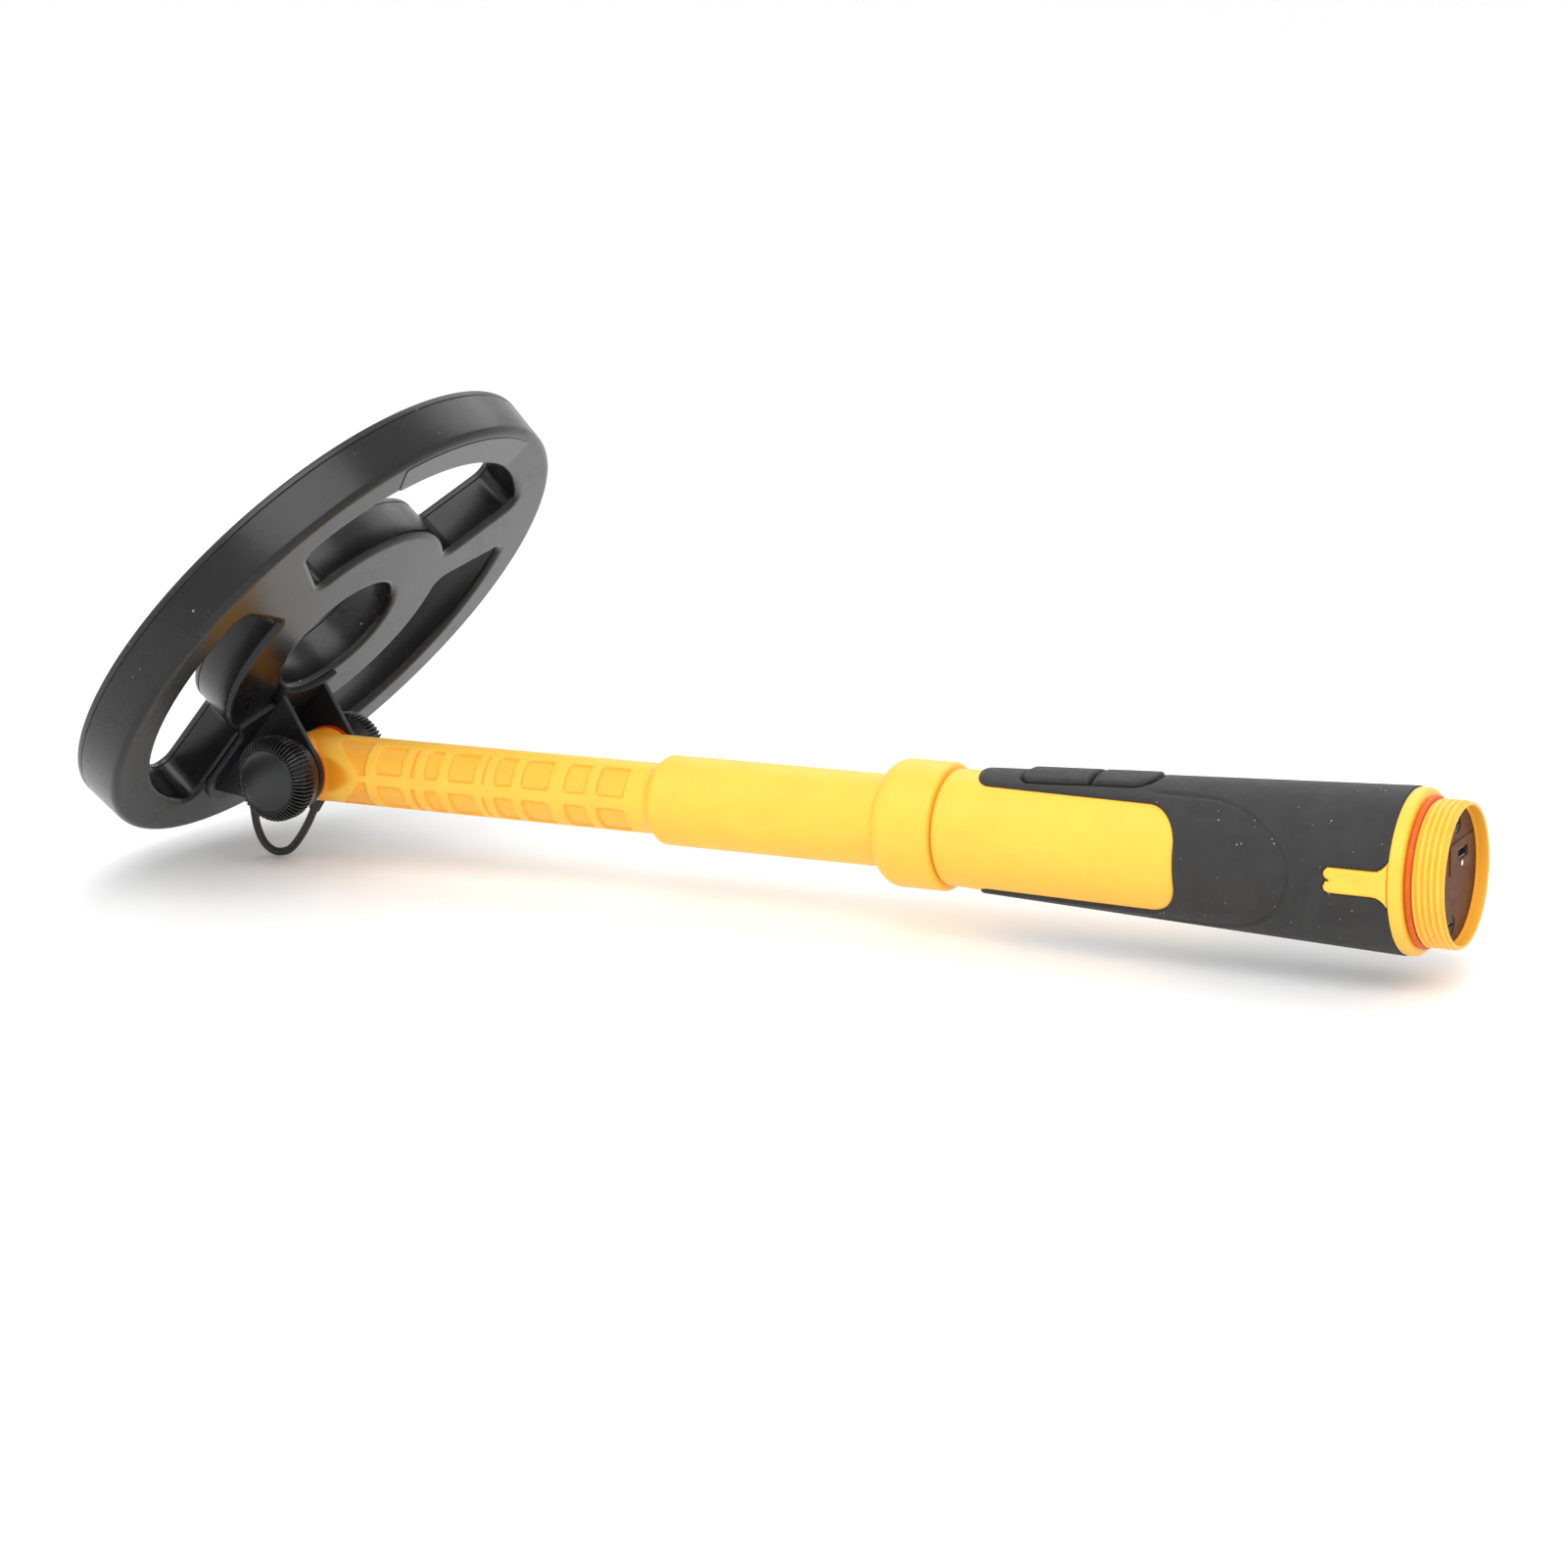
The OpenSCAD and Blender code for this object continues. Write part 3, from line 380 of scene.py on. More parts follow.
def panel_depth(x, angles):
    """Depth of the panels between the hoops, and of the curved recess ahead of them."""
    depth = np.zeros(angles.shape)
    if x >= RIBBED_END:
        return depth
    arc_len = np.abs(np.mod(angles + np.pi, 2 * np.pi) - np.pi) * SHAFT_R
    deg = SHAFT_R * math.pi / 180
    for lo, hi in ((26, 80), (100, 154)):
        mid, half = (lo + hi) / 2 * deg, (hi - lo) / 2 * deg
        for x0, x1 in PANELS:
            if abs(x - (x0 + x1) / 2) > (x1 - x0) / 2 + 2:
                continue
            half_x = (x1 - x0) / 2 + 0.25
            d = rounded_box(x - (x0 + x1) / 2, arc_len - mid, half_x, half + 0.25, min(1.7, half_x))
            depth = np.maximum(depth, ease(-d / PANEL_DEPTH) * min(PANEL_DEPTH, half_x * 0.9))
    # Curved recess between the flats and the first hoop
    if 8 < x < 33:
        side = np.abs(np.cos(angles))
        flat_edge = 26.5 - 13.0 * side ** 1.5
        d = np.maximum(x - 31.6, flat_edge + 1.6 - x)
        d = np.maximum(d, np.maximum(13 * deg - arc_len, arc_len - 167 * deg))
        d = np.maximum(d, 4.5 * deg - np.abs(arc_len - 90 * deg))
        depth = np.maximum(depth, ease(-d / 1.1) * RECESS_DEPTH)
    return depth


def shaft_radius(x, angles):
    """Radius of the shaft at station x for each angle."""
    if x >= RIBBED_END:
        return np.full(angles.shape, np.interp(x, profile_x, profile_r))
    r = SHAFT_R - panel_depth(x, angles)
    # Flats on both sides, and the barrel about the pivot between the ears
    side, top = np.maximum(np.abs(np.sin(angles)), 1e-3), np.maximum(np.abs(np.cos(angles)), 1e-3)
    flat = TONGUE_HALF + max(0.0, x - 14) * 2.3 / 12.0
    if 0 <= x < 27:
        r = soft_min(r, flat / side)
    if x < SHAFT_R:
        height = math.sqrt(max(SHAFT_R ** 2 - x * x, 1e-4))
        barrel = soft_min(TONGUE_HALF / side, height / top)
        r = barrel if x < 0 else np.maximum(r, barrel)
    return r


def shaft_painted_shade(x, angles):
    """Deeper colour painted in as shade on the panels' walls and floors, and on the tongue and its flats near
    the ears.
    """
    share = panel_depth(x, angles) / PANEL_DEPTH
    painted_shade = 0.20 * share + 0.75 * np.clip(4 * share * (1 - share), 0, 1)
    # Painted shade on the cut flats and on the tongue between the ears
    if x < 32:
        cut = SHAFT_R - shaft_radius(x, angles) - share * PANEL_DEPTH
        painted_shade = np.maximum(painted_shade, 0.95 * ease(cut / 0.9) * float(ease((31 - x) / 5)))
        painted_shade = np.maximum(painted_shade, 0.95 * float(ease((19 - x) / 14)))
    return painted_shade


shaft_angles = np.radians(np.arange(0, 360, 1.5)) + math.radians(0.75)
panel_ends = [end for panel in PANELS for end in panel]
shaft_xs = np.concatenate([
    -SHAFT_R * np.cos(np.radians(np.linspace(1, 90, 22))),
    stations(0.4, 13, 0.35), stations(13.4, 34, 0.5), stations(34.3, RIBBED_END, 1.6, panel_ends, 1.3, 0.32),
    stations(142.4, 153, 0.5), stations(155, 228, 6.0), stations(232.8, 241, 0.22), stations(242, 255.2, 2.2),
    COLLAR_END - COLLAR_EDGE_R + COLLAR_EDGE_R * np.sin(np.radians(np.linspace(0, 85, 8))),
])
# The collar's end face, then the bore back to the tongue
inner_profile = ((COLLAR_END, COLLAR_R - 1.6), (COLLAR_END, 15.6), (244.2, 15.5), (243.6, 11.6), (162, 11.5),
                 (158, 7.6), (9.0, 7.5))
rings = [around(x, shaft_radius(x, shaft_angles), shaft_angles) for x in shaft_xs]
rings += [around(x, r, shaft_angles) for x, r in inner_profile]
verts, faces = rings_to_mesh(rings, close_rows=False, cap_ends=True)
# Per-vertex share of the painted shade colour
painted_shades = np.zeros((len(rings), len(shaft_angles)))
for i, x in enumerate(shaft_xs):
    painted_shades[i] = shaft_painted_shade(x, shaft_angles)
shaft = make("shaft_skin", to_row(verts), faces, "handle", YELLOW, painted_shade=painted_shades.ravel())
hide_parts("shaft")


# ---- Handle: yellow housing, rubber overmould and buttons ----

def rubber_distance(x, z):
    """Distance inside the rubber from its visible edge, seen along the fold axis."""
    az = np.abs(z)
    past = x - (WINDOW_END - WINDOW_CORNER)
    if past < 0:
        d = az - WINDOW_HALF
    else:
        d = np.hypot(past, np.maximum(az - WINDOW_HALF + WINDOW_CORNER, 0)) - WINDOW_CORNER
    front = x - RUBBER[0]
    corner = 10.0
    if front < corner:
        u, v = corner - front, corner - d
        round_d = corner - np.hypot(u, np.maximum(v, 0))
        d = np.where(v > 0, np.minimum(round_d, d), np.minimum(d, front))
    return d


def tab_distance(x, z):
    """Signed distance to the tab's outline; negative inside."""
    az = np.abs(z - TAB_Z)
    # The straight part runs on 4 mm behind the flange's front
    x0, x1 = TAB_X[0] + TAB_LOBE_R, TAB_X[1] + 4
    body = rounded_box(x - (x0 + x1) / 2, az, (x1 - x0) / 2, TAB_HALF, 0.3)
    lobe = np.hypot(x - x0, az - (TAB_HALF - TAB_LOBE_R)) - TAB_LOBE_R
    d = np.minimum(body, lobe)
    if x > TAB_X[1] - TAB_FILLET:
        flare = TAB_FILLET - math.sqrt(max(0.0, TAB_FILLET ** 2 - (x - TAB_X[1] + TAB_FILLET) ** 2))
        d = np.minimum(d, az - TAB_HALF - flare)
    return d


def pocket_distance(x, s):
    """Signed distance to the outline round both buttons, in the unrolled skin; negative inside."""
    x0, x1 = BUTTONS[0][0], BUTTONS[1][1]
    mid, half = (x0 + x1) / 2, (x1 - x0) / 2
    r = 7.0 if x > mid else 4.0
    return rounded_box(x - mid, s, half, 8.9, r)


def round_edge(t):
    """Height of a rounded edge: 0 at t = 0, level from t = 1."""
    return np.sqrt(np.clip(1 - (1 - np.clip(t, 0, 1)) ** 2, 0, 1))


def near_side(angles):
    """True on the camera's half of the handle."""
    return np.sin(angles) > 0


def housing_radius(x, angles):
    """Radius of the yellow housing: full at the window and the tab, and lower under the rubber."""
    r0 = grip_at(x)
    z = r0 * np.cos(angles)
    r = np.full(angles.shape, r0)
    if RUBBER[0] - 2 < x < 346:
        d = rubber_distance(x, z)
        r = r - 0.35 * np.exp(-(d / 0.35) ** 2) - UNDER_RUBBER * ease((d - 0.4) / 0.8)
    elif x >= 346:
        r = r - UNDER_RUBBER
    if x < GRIP_X[0] + 1:
        r = r - (1 - math.sqrt(max(0.0, 1 - (GRIP_X[0] + 1 - x) ** 2))) * 0.9
    if x > 385:
        d = np.where(near_side(angles), tab_distance(x, z), 9.0)
        top = PROUD + 0.28 - 0.5 * float(ease((x - 406.5) / 5.5))
        dish = 0.95 * np.exp(-((x - 402.0) / 4.6) ** 2 - ((z - TAB_Z) / 2.5) ** 2)
        r = np.where(d < 0, r0 + top * round_edge(-d / 1.1) - dish * ease(-d / 1.5), r)
    return r


def thread_radius(x, angles):
    """Helical thread on the rear neck, running out at both ends."""
    phase = np.mod((x - THREAD_X) / THREAD_PITCH - angles / (2 * np.pi), 1.0)
    ridge = ease((0.5 - np.abs(phase - 0.5)) * 2 / 0.8)
    fade = ease((x - 419.1) / 0.7) * ease((428.7 - x) / 0.6)
    return THREAD_ROOT + (THREAD_CREST - THREAD_ROOT) * ridge * fade


skin_angles = np.radians(np.arange(0, 360, 1.25))
cone_xs = np.concatenate([stations(GRIP_X[0], 345.5, 0.62), stations(349, 385, 6.0),
                          stations(387, 412.4, 0.5)])
rings = [around(x, housing_radius(x, skin_angles), skin_angles) for x in cone_xs]
for t in np.radians(np.linspace(0, 90, 6)):
    rings.append(around(413.6 - 1.0 * math.cos(t), FLANGE_R - 0.9 + 0.9 * math.sin(t), skin_angles))
for t in np.radians(np.linspace(0, 90, 8)):
    rings.append(around(415.4 + 1.6 * math.sin(t), FLANGE_R - 1.6 + 1.6 * math.cos(t), skin_angles))
for x, r in ((417.0, RING_SEAT_R + 0.3), (417.2, RING_SEAT_R), (419.0, RING_SEAT_R)):
    rings.append(around(x, r, skin_angles))
thread_xs = stations(419.15, 428.9, 0.2)
thread_from = len(rings)
rings += [around(x, thread_radius(x, skin_angles), skin_angles) for x in thread_xs]
# The neck's lip, its bore with two steps, the bulkhead's seat, and the hollow forward to the spigot
lip = ((429.1, 22.5), (429.3, 22.3), (NECK_END, 22.05))
hollow = ((NECK_END, 21.75), (429.25, 21.5), (428.9, 21.42), (426.0, 21.4), (425.9, 21.05), (422.5, 21.0),
          (422.4, 20.0), (404, 20.0), (386, 19.2), (300, 16.8), (262, 12.6), (244.5, 12.6))
spigot_end = ((244.3, 15.2), (256.0, 15.35))
rings += [around(x, r, skin_angles) for x, r in (*lip, *hollow, *spigot_end)]
verts, faces = rings_to_mesh(rings)
# Painted shade: a deeper colour in the thread's grooves and inside the hollow bore
painted_shades = np.zeros((len(rings), len(skin_angles)))
for i, x in enumerate(thread_xs):
    painted_shades[thread_from + i] = 0.55 * np.clip((THREAD_CREST - thread_radius(x, skin_angles)) / 0.7, 0, 1)
painted_shades[-len(hollow) - len(spigot_end):-len(spigot_end)] = 0.45
housing = make("housing_skin", to_row(verts), faces, "handle", YELLOW, smooth=50, painted_shade=painted_shades.ravel())
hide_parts("handle_housing")


def rubber_radius(x, angles):
    """Radius of the rubber: rounded edges, a pocket for the buttons, an engraved line and a small ring."""
    r0 = grip_at(x)
    z = r0 * np.cos(angles)
    d = rubber_distance(x, z)
    if x > RUBBER[1] - 1.2:
        d = np.minimum(d, RUBBER[1] + 0.05 - x)
    if x > 385:
        tab = np.where(near_side(angles), tab_distance(x, z), 9.0)
        d = np.minimum(d, tab - 0.15)
    lift = np.where(d > 0, PROUD * round_edge(d / 0.75), d * 2.5)
    r = r0 + np.maximum(lift, -1.1)
    # Pocket round the buttons
    s = (np.mod(angles + np.pi, 2 * np.pi) - np.pi) * (r0 + PROUD)
    pocket = pocket_distance(x, s)
    r = r - 1.7 * ease((0.75 - pocket) / 0.5) * (pocket < 0.75)
    # Engraved outline behind the side window
    if 326 < x < 383:
        az = np.abs(z)
        if x > 350:
            off_line = (np.hypot((x - 350) / 31.0, az / 19.5) - 1) * 22
        else:
            off_line = az - 19.5
        line = np.exp(-(off_line / 0.38) ** 2) * ease((x - 327) / 8)
        r = r - 0.6 * line * (np.abs(np.sin(angles)) > 0.2)
    # Small raised ring just ahead of the tab
    if 380 < x < 396:
        off_ring = np.hypot(x - 391.0, z - TAB_Z) - 3.6
        tab = tab_distance(x, z)
        r = r + 0.4 * np.exp(-(off_ring / 0.4) ** 2) * near_side(angles) * ease((tab - 0.6) / 0.6)
    return r


rubber_end = RUBBER[1] + 0.1
rubber_xs = np.concatenate([stations(RUBBER[0] - 0.4, 386, 0.55), stations(386.5, 411.6, 0.5),
                            stations(411.8, rubber_end, 0.2)])
rings = [around(x, rubber_radius(x, skin_angles), skin_angles) for x in rubber_xs]
rings += [around(x, grip_at(x) - 2.0, skin_angles) for x in (rubber_end, 386, 340, 300, RUBBER[0] - 0.4)]
verts, faces = rings_to_mesh(rings)
rubber = make("rubber_skin", to_row(verts), faces, "handle", RUBBER_GREY, smooth=60)
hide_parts("rubber_grip")


def engraved_sign(node, u, v):
    """Share of the engraving at (u, v) from the button's middle: ring and bar, or ring and dot."""
    away = np.hypot(u, v)
    if node == "power_button":
        ring = np.exp(-((away - 3.0) / 0.28) ** 2) * (np.abs(np.arctan2(v, u)) > 0.5)
        bar = np.exp(-(v / 0.28) ** 2) * (u > 0.6) * (u < 4.0)
        return np.maximum(ring, bar)
    return np.maximum(np.exp(-((away - 3.1) / 0.28) ** 2), np.exp(-((away - 1.3) / 0.28) ** 2))


def button_skin(node, x0, x1):
    """A push button as a closed cap on the grip's curve, with bevelled sides and an engraved sign."""
    nx, ns = 64, 60
    us = np.linspace(x0 + 0.1, x1 - 0.1, nx)
    ss = np.linspace(-9.0, 9.0, ns)
    x, s = np.meshgrid(us, ss, indexing="ij")
    outline = np.stack([pocket_distance(u, ss) for u in us])
    d = np.maximum(outline + 0.15, np.maximum(x0 - x, x - x1) + 0.1)
    bevel = np.clip(-d / 1.5, 0, 1)
    height = PROUD - 1.2 + 2.15 * np.sqrt(np.clip(1 - (1 - bevel) ** 2.4, 0, 1))
    height = height - 0.14 * engraved_sign(node, x - (x0 + x1) / 2, s)
    # Outside the outline the cap tucks straight down
    r = grip_at(x) + np.where(d > 0, PROUD - 1.25, height)
    a = s / np.maximum(1, 1 + np.maximum(d, 0) / 9) / (grip_at(x) + PROUD)
    low = grip_at(x) + PROUD - 2.2
    layers = [np.stack([x, -radius * np.sin(a), radius * np.cos(a)], -1) for radius in (low, r)]
    keep = d < 0.02
    index = {}
    verts = []

    def vid(layer, p, q):
        key = (layer, p, q)
        if key not in index:
            index[key] = len(verts)
            verts.append(layers[layer][p, q])
        return index[key]

    inside = keep[:-1, :-1] & keep[1:, :-1] & keep[:-1, 1:] & keep[1:, 1:]
    faces = []
    for p, q in zip(*np.nonzero(inside)):
        faces.append([vid(1, p, q), vid(1, p + 1, q), vid(1, p + 1, q + 1), vid(1, p, q + 1)])
        faces.append([vid(0, p, q + 1), vid(0, p + 1, q + 1), vid(0, p + 1, q), vid(0, p, q)])
        # A wall wherever the next cell is outside the cap
        sides = (((p - 1, q), (p, q), (p, q + 1)), ((p + 1, q), (p + 1, q + 1), (p + 1, q)),
                 ((p, q - 1), (p + 1, q), (p, q)), ((p, q + 1), (p, q + 1), (p + 1, q + 1)))
        for (cp, cq), e0, e1 in sides:
            if cp < 0 or cq < 0 or cp >= nx - 1 or cq >= ns - 1 or not inside[cp, cq]:
                faces.append([vid(1, *e0), vid(1, *e1), vid(0, *e1), vid(0, *e0)])
    return verts, faces


for node, (x0, x1) in zip(("power_button", "mode_button"), BUTTONS):
    verts, faces = button_skin(node, x0, x1)
    cap = make(node + "_cap", to_row(verts), faces, node, BUTTON_GREY, smooth=50)
    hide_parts(node)


# ---- Coil: shell and cover with rounded openings ----

COIL_R, COIL_DRAFT = 100.0, 1.5
CORNER, RING_R, HUB_R, HOLE_R = 5.0, 83.5, 50.0, 25.0
# Half angle of the two narrow spokes in degrees, and half width of the wide one that carries the bracket
SPOKE_HALF, WIDE_HALF = 10.0, 20.0
# Height of the seam between the shell and its cover
SEAM_Z = COIL_T - 2.5


def pol(r, a):
    """Point at radius r and angle a in degrees."""
    return (r * math.cos(math.radians(a)), r * math.sin(math.radians(a)))


def arc(c, r, a0, a1, n):
    """n + 1 points of an arc about c."""
    return [(c[0] + pol(r, a)[0], c[1] + pol(r, a)[1]) for a in np.linspace(a0, a1, n + 1)]


def circle(c, r, n):
    """n points of a whole circle about c."""
    return arc(c, r, 0, 360, n)[:-1]


def slot_outline(kind, off):
    """Outline of one opening, grown by off. Every off gives the same number of points."""
    ro, ri, rc = RING_R - CORNER, HUB_R + CORNER, CORNER + off
    turn_o = math.degrees(math.asin(CORNER / ro))
    turn_i = math.degrees(math.asin(CORNER / ri))

    def radial_end(a, d):
        return (arc(pol(ro, a - d * turn_o), rc, a - d * turn_o, a + d * 90, 10)
                + arc(pol(ri, a - d * turn_i), rc, a + d * 90, a - d * turn_i + d * 180, 10))

    def between(r, a0, a1):
        n = max(2, round(abs(a1 - a0) / 2.0))
        return [pol(r, a0 + (a1 - a0) * i / n) for i in range(1, n)]

    if kind == "front":
        half = 60 - SPOKE_HALF
        end = radial_end(half, 1)
        return (end + between(HUB_R - off, half - turn_i, turn_i - half)
                + [(x, -y) for x, y in end[::-1]]
                + between(RING_R + off, turn_o - half, half - turn_o))
    edge = 60 + SPOKE_HALF
    y = WIDE_HALF + CORNER
    ci, co = (-math.sqrt(ri * ri - y * y), y), (-math.sqrt(ro * ro - y * y), y)
    ai, ao = math.degrees(math.atan2(ci[1], ci[0])), math.degrees(math.atan2(co[1], co[0]))
    points = (radial_end(edge, -1) + between(HUB_R - off, edge + turn_i, ai)
              + arc(ci, rc, ai + 180, 270, 9) + arc(co, rc, 270, ao, 10)
              + between(RING_R + off, ao, edge + turn_o))
    return points if kind == "near" else [(x, -y) for x, y in points]


def slab(levels, outlines, place):
    """A plate with holes. levels are (distance in from every edge, z), and outlines(inset, z) gives the
    contours, the outer one first. The first and last levels are filled."""
    verts, faces, starts = [], [], []
    for inset, z in levels:
        row = []
        for contour in outlines(inset, z):
            row.append((len(verts), len(contour)))
            verts.extend((x, y, z) for x, y in contour)
        starts.append(row)
    for a, b in zip(starts, starts[1:]):
        for (sa, n), (sb, _) in zip(a, b):
            for k in range(n):
                after = (k + 1) % n
                faces.append((sa + k, sa + after, sb + after, sb + k))
    for row in (starts[0], starts[-1]):
        loops = [[Vector(verts[s + k]) for k in range(n)] for s, n in row]
        flat = [s + k for s, n in row for k in range(n)]
        for tri in tessellate_polygon(loops):
            faces.append(tuple(flat[t] for t in tri))
    return place(verts), faces


def fillet(radius, steps, z0, direction):
    """(inset, z) from the face inwards to the wall, starting with a short flat rim."""
    curve = [(radius * (1 - math.sin(a)), z0 + direction * radius * (1 - math.cos(a)))
             for a in np.radians(np.linspace(0, 90, steps + 1))]
    return [(radius + 0.35, z0)] + curve


def coil_outlines(inset, z):
    """The drafted rim, the hub's hole and the three openings."""
    rim = circle((0, 0), COIL_R + COIL_DRAFT * z / COIL_T - inset, 180)
    slots = [slot_outline(kind, inset) for kind in ("front", "near", "far")]
    return [rim, circle((0, 0), HOLE_R + inset, 96), *slots]


shell_levels = fillet(2.6, 7, 0.0, 1) + [(0.0, 9.0), (0.0, SEAM_Z - 0.3), (0.28, SEAM_Z - 0.02)]
verts, faces = slab(shell_levels, coil_outlines, coil_to_row)
shell = make("coil_shell_skin", verts, faces, "coil", COIL_BLACK)
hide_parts("coil_shell")

cover_levels = [(0.28, SEAM_Z + 0.02), (0.0, SEAM_Z + 0.3)] + fillet(1.0, 4, COIL_T, -1)[::-1]
verts, faces = slab(cover_levels, coil_outlines, coil_to_row)
cover = make("coil_cover_skin", verts, faces, "coil", COVER_BLACK)
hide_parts("coil_cover")


def label_outlines(inset, z):
    """A band on the ring with rounded corners."""
    r_out, r_in, half, corner = 96.6, 84.9, 22.8, 1.6
    c_out, c_in = r_out - corner, r_in + corner
    t_out, t_in = (math.degrees(math.asin(corner / c)) for c in (c_out, c_in))
    end = (arc(pol(c_out, half - t_out), corner - inset, half - t_out, half + 90, 6)
           + arc(pol(c_in, half - t_in), corner - inset, half + 90, half - t_in + 180, 6))
    inner = [pol(r_in + inset, a) for a in np.linspace(half - t_in, t_in - half, 30)[1:-1]]
    outer = [pol(r_out - inset, a) for a in np.linspace(t_out - half, half - t_out, 30)[1:-1]]
    return [end + inner + [(x, -y) for x, y in end[::-1]] + outer]


verts, faces = slab([(0.45, -0.28), (0.12, -0.28), (0.0, -0.18), (0.0, 0.05)], label_outlines, coil_to_row)
label = make("coil_label_film", verts, faces, "coil", LABEL_GREY)
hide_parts("coil_label")


# ---- Bracket: base plate and two ears ----

def inset_polygon(points, inset):
    """Moves each edge of a simple polygon inwards by inset."""
    p = np.array(points, float)
    area = np.sum(p[:, 0] * np.roll(p[:, 1], -1) - np.roll(p[:, 0], -1) * p[:, 1]) / 2
    edge = np.roll(p, -1, 0) - p
    edge /= np.linalg.norm(edge, axis=1)[:, None]
    normal = np.stack([-edge[:, 1], edge[:, 0]], 1) * (1 if area > 0 else -1)
    mitre = normal + np.roll(normal, 1, 0)
    mitre /= np.maximum((mitre * normal).sum(1), 0.35)[:, None]
    return [tuple(v) for v in p + mitre * inset]


def rounded(points, r, steps=5):
    """Rounds every corner of a polygon."""
    p = [np.array(q, float) for q in points]
    out = []
    for i, c in enumerate(p):
        a, b = p[i - 1] - c, p[(i + 1) % len(p)] - c
        la, lb = np.linalg.norm(a), np.linalg.norm(b)
        k = min(r, la * 0.45, lb * 0.45)
        s, e = c + a / la * k, c + b / lb * k
        for t in np.linspace(0, 1, steps + 1):
            out.append(tuple((1 - t) ** 2 * s + 2 * t * (1 - t) * c + t * t * e))
    return out


EAR_OUT, EAR_T, EAR_R, EAR_EDGE, BOLT_HOLE_R = 13.4, 2.2, 13.2, 0.35, 3.05
BASE_T, SCREW_HEAD_R = 2.0, 3.2
PIVOT = (-COIL_ALONG, -COIL_ABOVE)


def head_touch(p, side):
    """Angle on the ear's round head where the straight edge from p touches it."""
    d = np.array(p) - np.array(PIVOT)
    return math.degrees(math.atan2(d[1], d[0])) + side * math.degrees(math.acos(EAR_R / np.linalg.norm(d)))


front, rear = (-26.0, -BASE_T + 0.3), (-76.0, -BASE_T + 0.3)
a0, a1 = head_touch(front, -1), head_touch(rear, 1)
if a1 > a0:
    a1 -= 360
ear_points = [front] + arc(PIVOT, EAR_R, a0, a1, 40) + [rear]


def ear_outlines(inset, z):
    """The ear with the bolt's hole."""
    return [inset_polygon(ear_points, inset), circle(PIVOT, BOLT_HOLE_R, 32)]


h, f = EAR_T / 2, EAR_EDGE
half_ear = [(f + 0.3, h), (f, h), (f * 0.3, h - f * 0.3), (0, h - f)]
ear_levels = [(inset, -z) for inset, z in half_ear] + half_ear[::-1]


def upright(side):
    """Stands a plate up as the ear on one side."""
    def place(points):
        v = np.array(points, float)
        return coil_to_row(np.stack([v[:, 0], side * (EAR_OUT - EAR_T / 2) + v[:, 2], v[:, 1]], 1))
    return place


for side, name in ((-1, "near_ear"), (1, "far_ear")):
    verts, faces = slab(ear_levels, ear_outlines, upright(side))
    ear = make(name, verts, faces, "coil", EAR_BLACK)
    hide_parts("ear_bracket")

base_side = [(-31, 13.4), (-39.5, 27), (-46.5, 20), (-72, 20), (-80, 13), (-84, 5)]
base_points = rounded(base_side + [(x, -y) for x, y in base_side[::-1]], 1.2)
base_points += [pol(HOLE_R + 1.5, a) for a in np.linspace(216, 144, 14)]


def base_outlines(inset, z):
    """The base plate with its two screw holes."""
    return [inset_polygon(base_points, inset), *(circle((x, 0), SCREW_HEAD_R, 32) for x in (-77, -38))]


base_levels = [(0.9, -BASE_T), (0.5, -BASE_T), (0.15, -BASE_T + 0.15), (0.0, -BASE_T + 0.5), (0.0, 0.02)]
verts, faces = slab(base_levels, base_outlines, coil_to_row)
base = make("bracket_base", verts, faces, "coil", EAR_BLACK)
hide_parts("ear_bracket")


# ---- Knobs ----

KNOB_R, RIBS, RIB_DEPTH = 15.3, 60, 1.3
# (distance from the middle along the fold axis, radius): skirt, ribbed rim, shoulder, groove and dome
knob_profile = [
    (13.65, 4.0), (13.65, 12.2), (13.9, 12.75), (15.0, 13.6), (17.0, 14.1), (19.2, 14.6), (19.6, 15.1),
    (20.1, KNOB_R), (24.2, KNOB_R), (24.9, 15.15), (25.6, 14.5), (26.6, 13.3), (27.2, 12.5), (27.45, 12.05),
    (27.35, 11.7), (27.9, 10.8), (28.5, 9.2), (29.0, 7.2), (29.35, 5.0), (29.52, 2.6), (29.58, 0.6)]


def knob_skin():
    """A knob on the +Y side, with ribs that run over its rim and shoulder."""
    angles = np.linspace(0, 2 * np.pi, RIBS * 6, endpoint=False)
    valley = 1 - np.clip(0.5 + 1.2 * np.cos(angles * RIBS), 0, 1)
    dense = []
    for (y0, r0), (y1, r1) in zip(knob_profile, knob_profile[1:]):
        n = max(1, int(math.hypot(y1 - y0, r1 - r0) / 0.8))
        dense += [(y0 + (y1 - y0) * t, r0 + (r1 - r0) * t) for t in np.arange(n) / n]
    dense.append(knob_profile[-1])
    rings = []
    for y, r in dense:
        cut = ease((y - 19.3) / 0.6) * ease((27.5 - y) / 0.35) * valley
        ribbed = r - RIB_DEPTH * cut
        rings.append(np.stack([ribbed * np.cos(angles), y - ease((y - 24.2) / 1.4) * cut,
                               ribbed * np.sin(angles)], 1))
    return rings_to_mesh(rings, close_rows=False, cap_ends=True)


knob_verts, knob_faces = knob_skin()
for side, body in ((-1, "near_knob"), (1, "far_knob")):
    v = knob_verts * np.array((1, side, 1))
    knob = make(body + "_skin", to_row(v), knob_faces, body, KNOB_BLACK, smooth=50)
    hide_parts(body)


# ---- Lead: the loop from the shaft to the coil ----

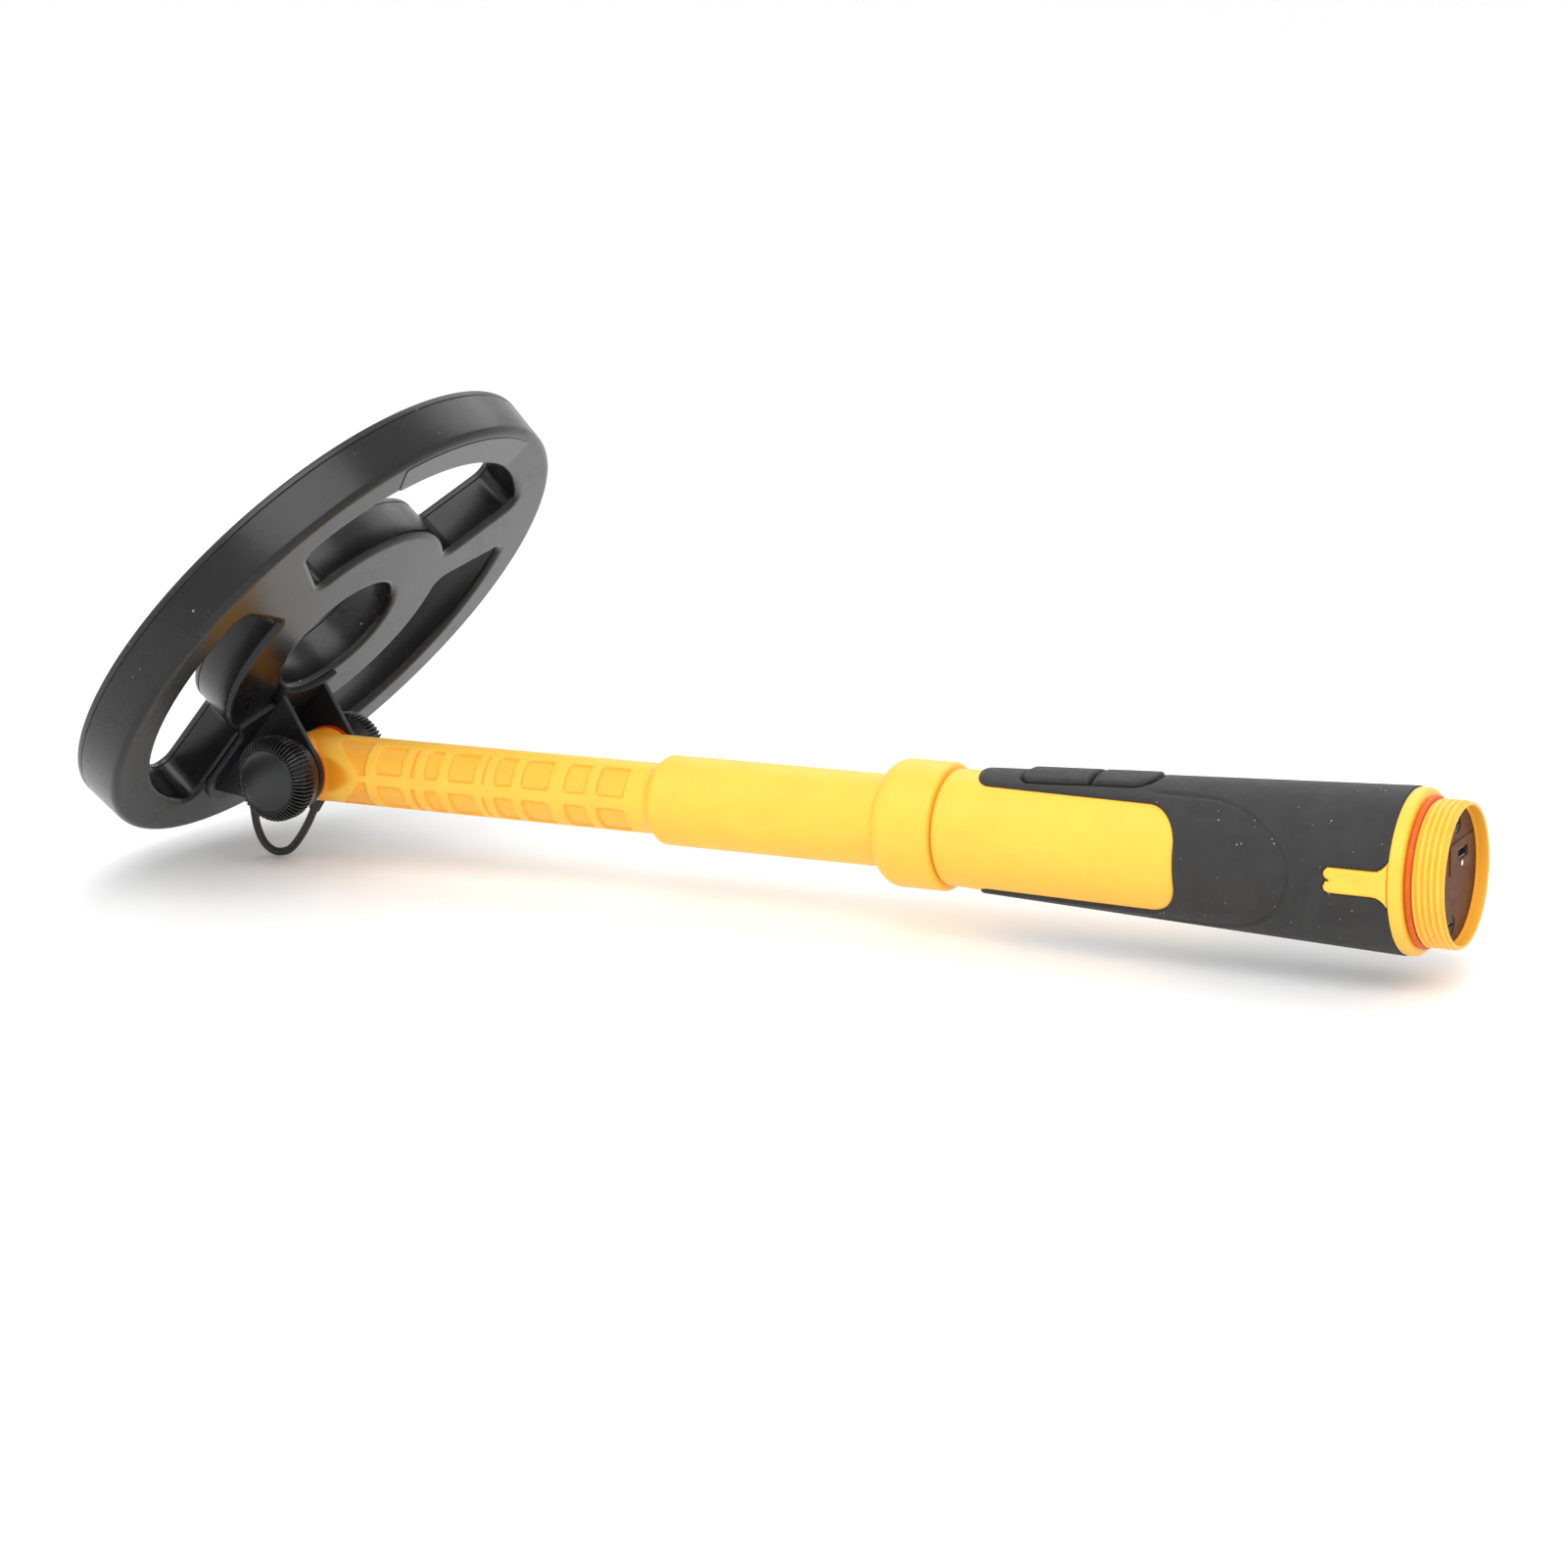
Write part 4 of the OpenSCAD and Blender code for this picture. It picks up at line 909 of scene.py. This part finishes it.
def smooth_route(points, per=6):
    """A smooth curve through the points, per steps between each two."""
    p = np.array(points, float)
    p = np.vstack([2 * p[0] - p[1], p, 2 * p[-1] - p[-2]])
    out = []
    for i in range(1, len(p) - 2):
        for t in np.arange(per) / per:
            a, b, c, d = p[i - 1:i + 3]
            out.append(0.5 * (2 * b + (c - a) * t + (2 * a - 5 * b + 4 * c - d) * t ** 2
                              + (3 * b - a - 3 * c + d) * t ** 3))
    out.append(p[-2])
    return np.array(out)


route = smooth_route(LEAD_ROUTE)
direction = np.gradient(route, axis=0)
direction /= np.linalg.norm(direction, axis=1)[:, None]
ring_angles = np.linspace(0, 2 * np.pi, 20, endpoint=False)
across, sideways = LEAD_R * np.cos(ring_angles), LEAD_R * np.sin(ring_angles)
rings = [np.stack([x - dz * across, sideways, z + dx * across], 1)
         for (x, z), (dx, dz) in zip(route, direction)]
verts, faces = rings_to_mesh(rings, close_rows=False, cap_ends=True)
lead = make("coil_lead_tube", to_row(verts), faces, None, CABLE_BLACK)
tuple(to_row((LEAD_ROUTE[0][0], 0, LEAD_ROUTE[0][1]))[0])
tuple(to_row((LEAD_ROUTE[-1][0], 0, LEAD_ROUTE[-1][1]))[0])
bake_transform(lead)
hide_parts("coil_lead")


# ---- Studio: pale floor that curves up all round, and soft lights ----

FLOOR_TURNS, FLOOR_GAP = 72, 0.0004
floor_z = cad_box[0][2] - FLOOR_GAP
cove = [(2.4 + 1.6 * math.sin(a), 1.6 - 1.6 * math.cos(a)) for a in np.radians(np.linspace(8, 90, 12))]
floor_profile = [(0.6, 0.0), (1.4, 0.0), (2.4, 0.0), *cove, (4.0, 3.4)]
floor_angles = [2 * math.pi * k / FLOOR_TURNS for k in range(FLOOR_TURNS)]
rings = [[(r * math.cos(a) - 0.25, r * math.sin(a), floor_z + h) for a in floor_angles]
         for r, h in floor_profile]
verts, faces = rings_to_mesh(rings, close_rows=False)
faces.append(tuple(range(FLOOR_TURNS)))
FLOOR = material("pale_floor", (0.92, 0.92, 0.92), 0.6, mottle=0.004, mottle_mm=300, bump=0.0,
                 rough_spread=0.02)
floor = make("floor", verts, faces, None, FLOOR)

world = bpy.data.worlds.new("studio")
world.use_nodes = True
world.node_tree.nodes["Background"].inputs[0].default_value = (1.0, 1.0, 1.0, 1)
world.node_tree.nodes["Background"].inputs[1].default_value = 0.95
bpy.context.scene.world = world
bpy.context.scene.view_settings.view_transform = "Standard"


def softbox(name, place, size, power):
    """A round soft light aimed at the middle of the model."""
    data = bpy.data.lights.new(name, "AREA")
    data.shape = "DISK"
    data.size = size
    data.energy = power
    light = bpy.data.objects.new(name, data)
    bpy.context.scene.collection.objects.link(light)
    light.location = place
    aim = Vector((-0.22, 0, 0.02)) - Vector(place)
    light.rotation_euler = aim.to_track_quat("-Z", "Y").to_euler()


softbox("key_light", (0.6, -1.4, 2.0), 2.2, 34)
softbox("fill_light", (-1.6, -1.2, 1.4), 2.2, 8)
softbox("back_light", (-0.4, 1.7, 1.9), 2.2, 16)
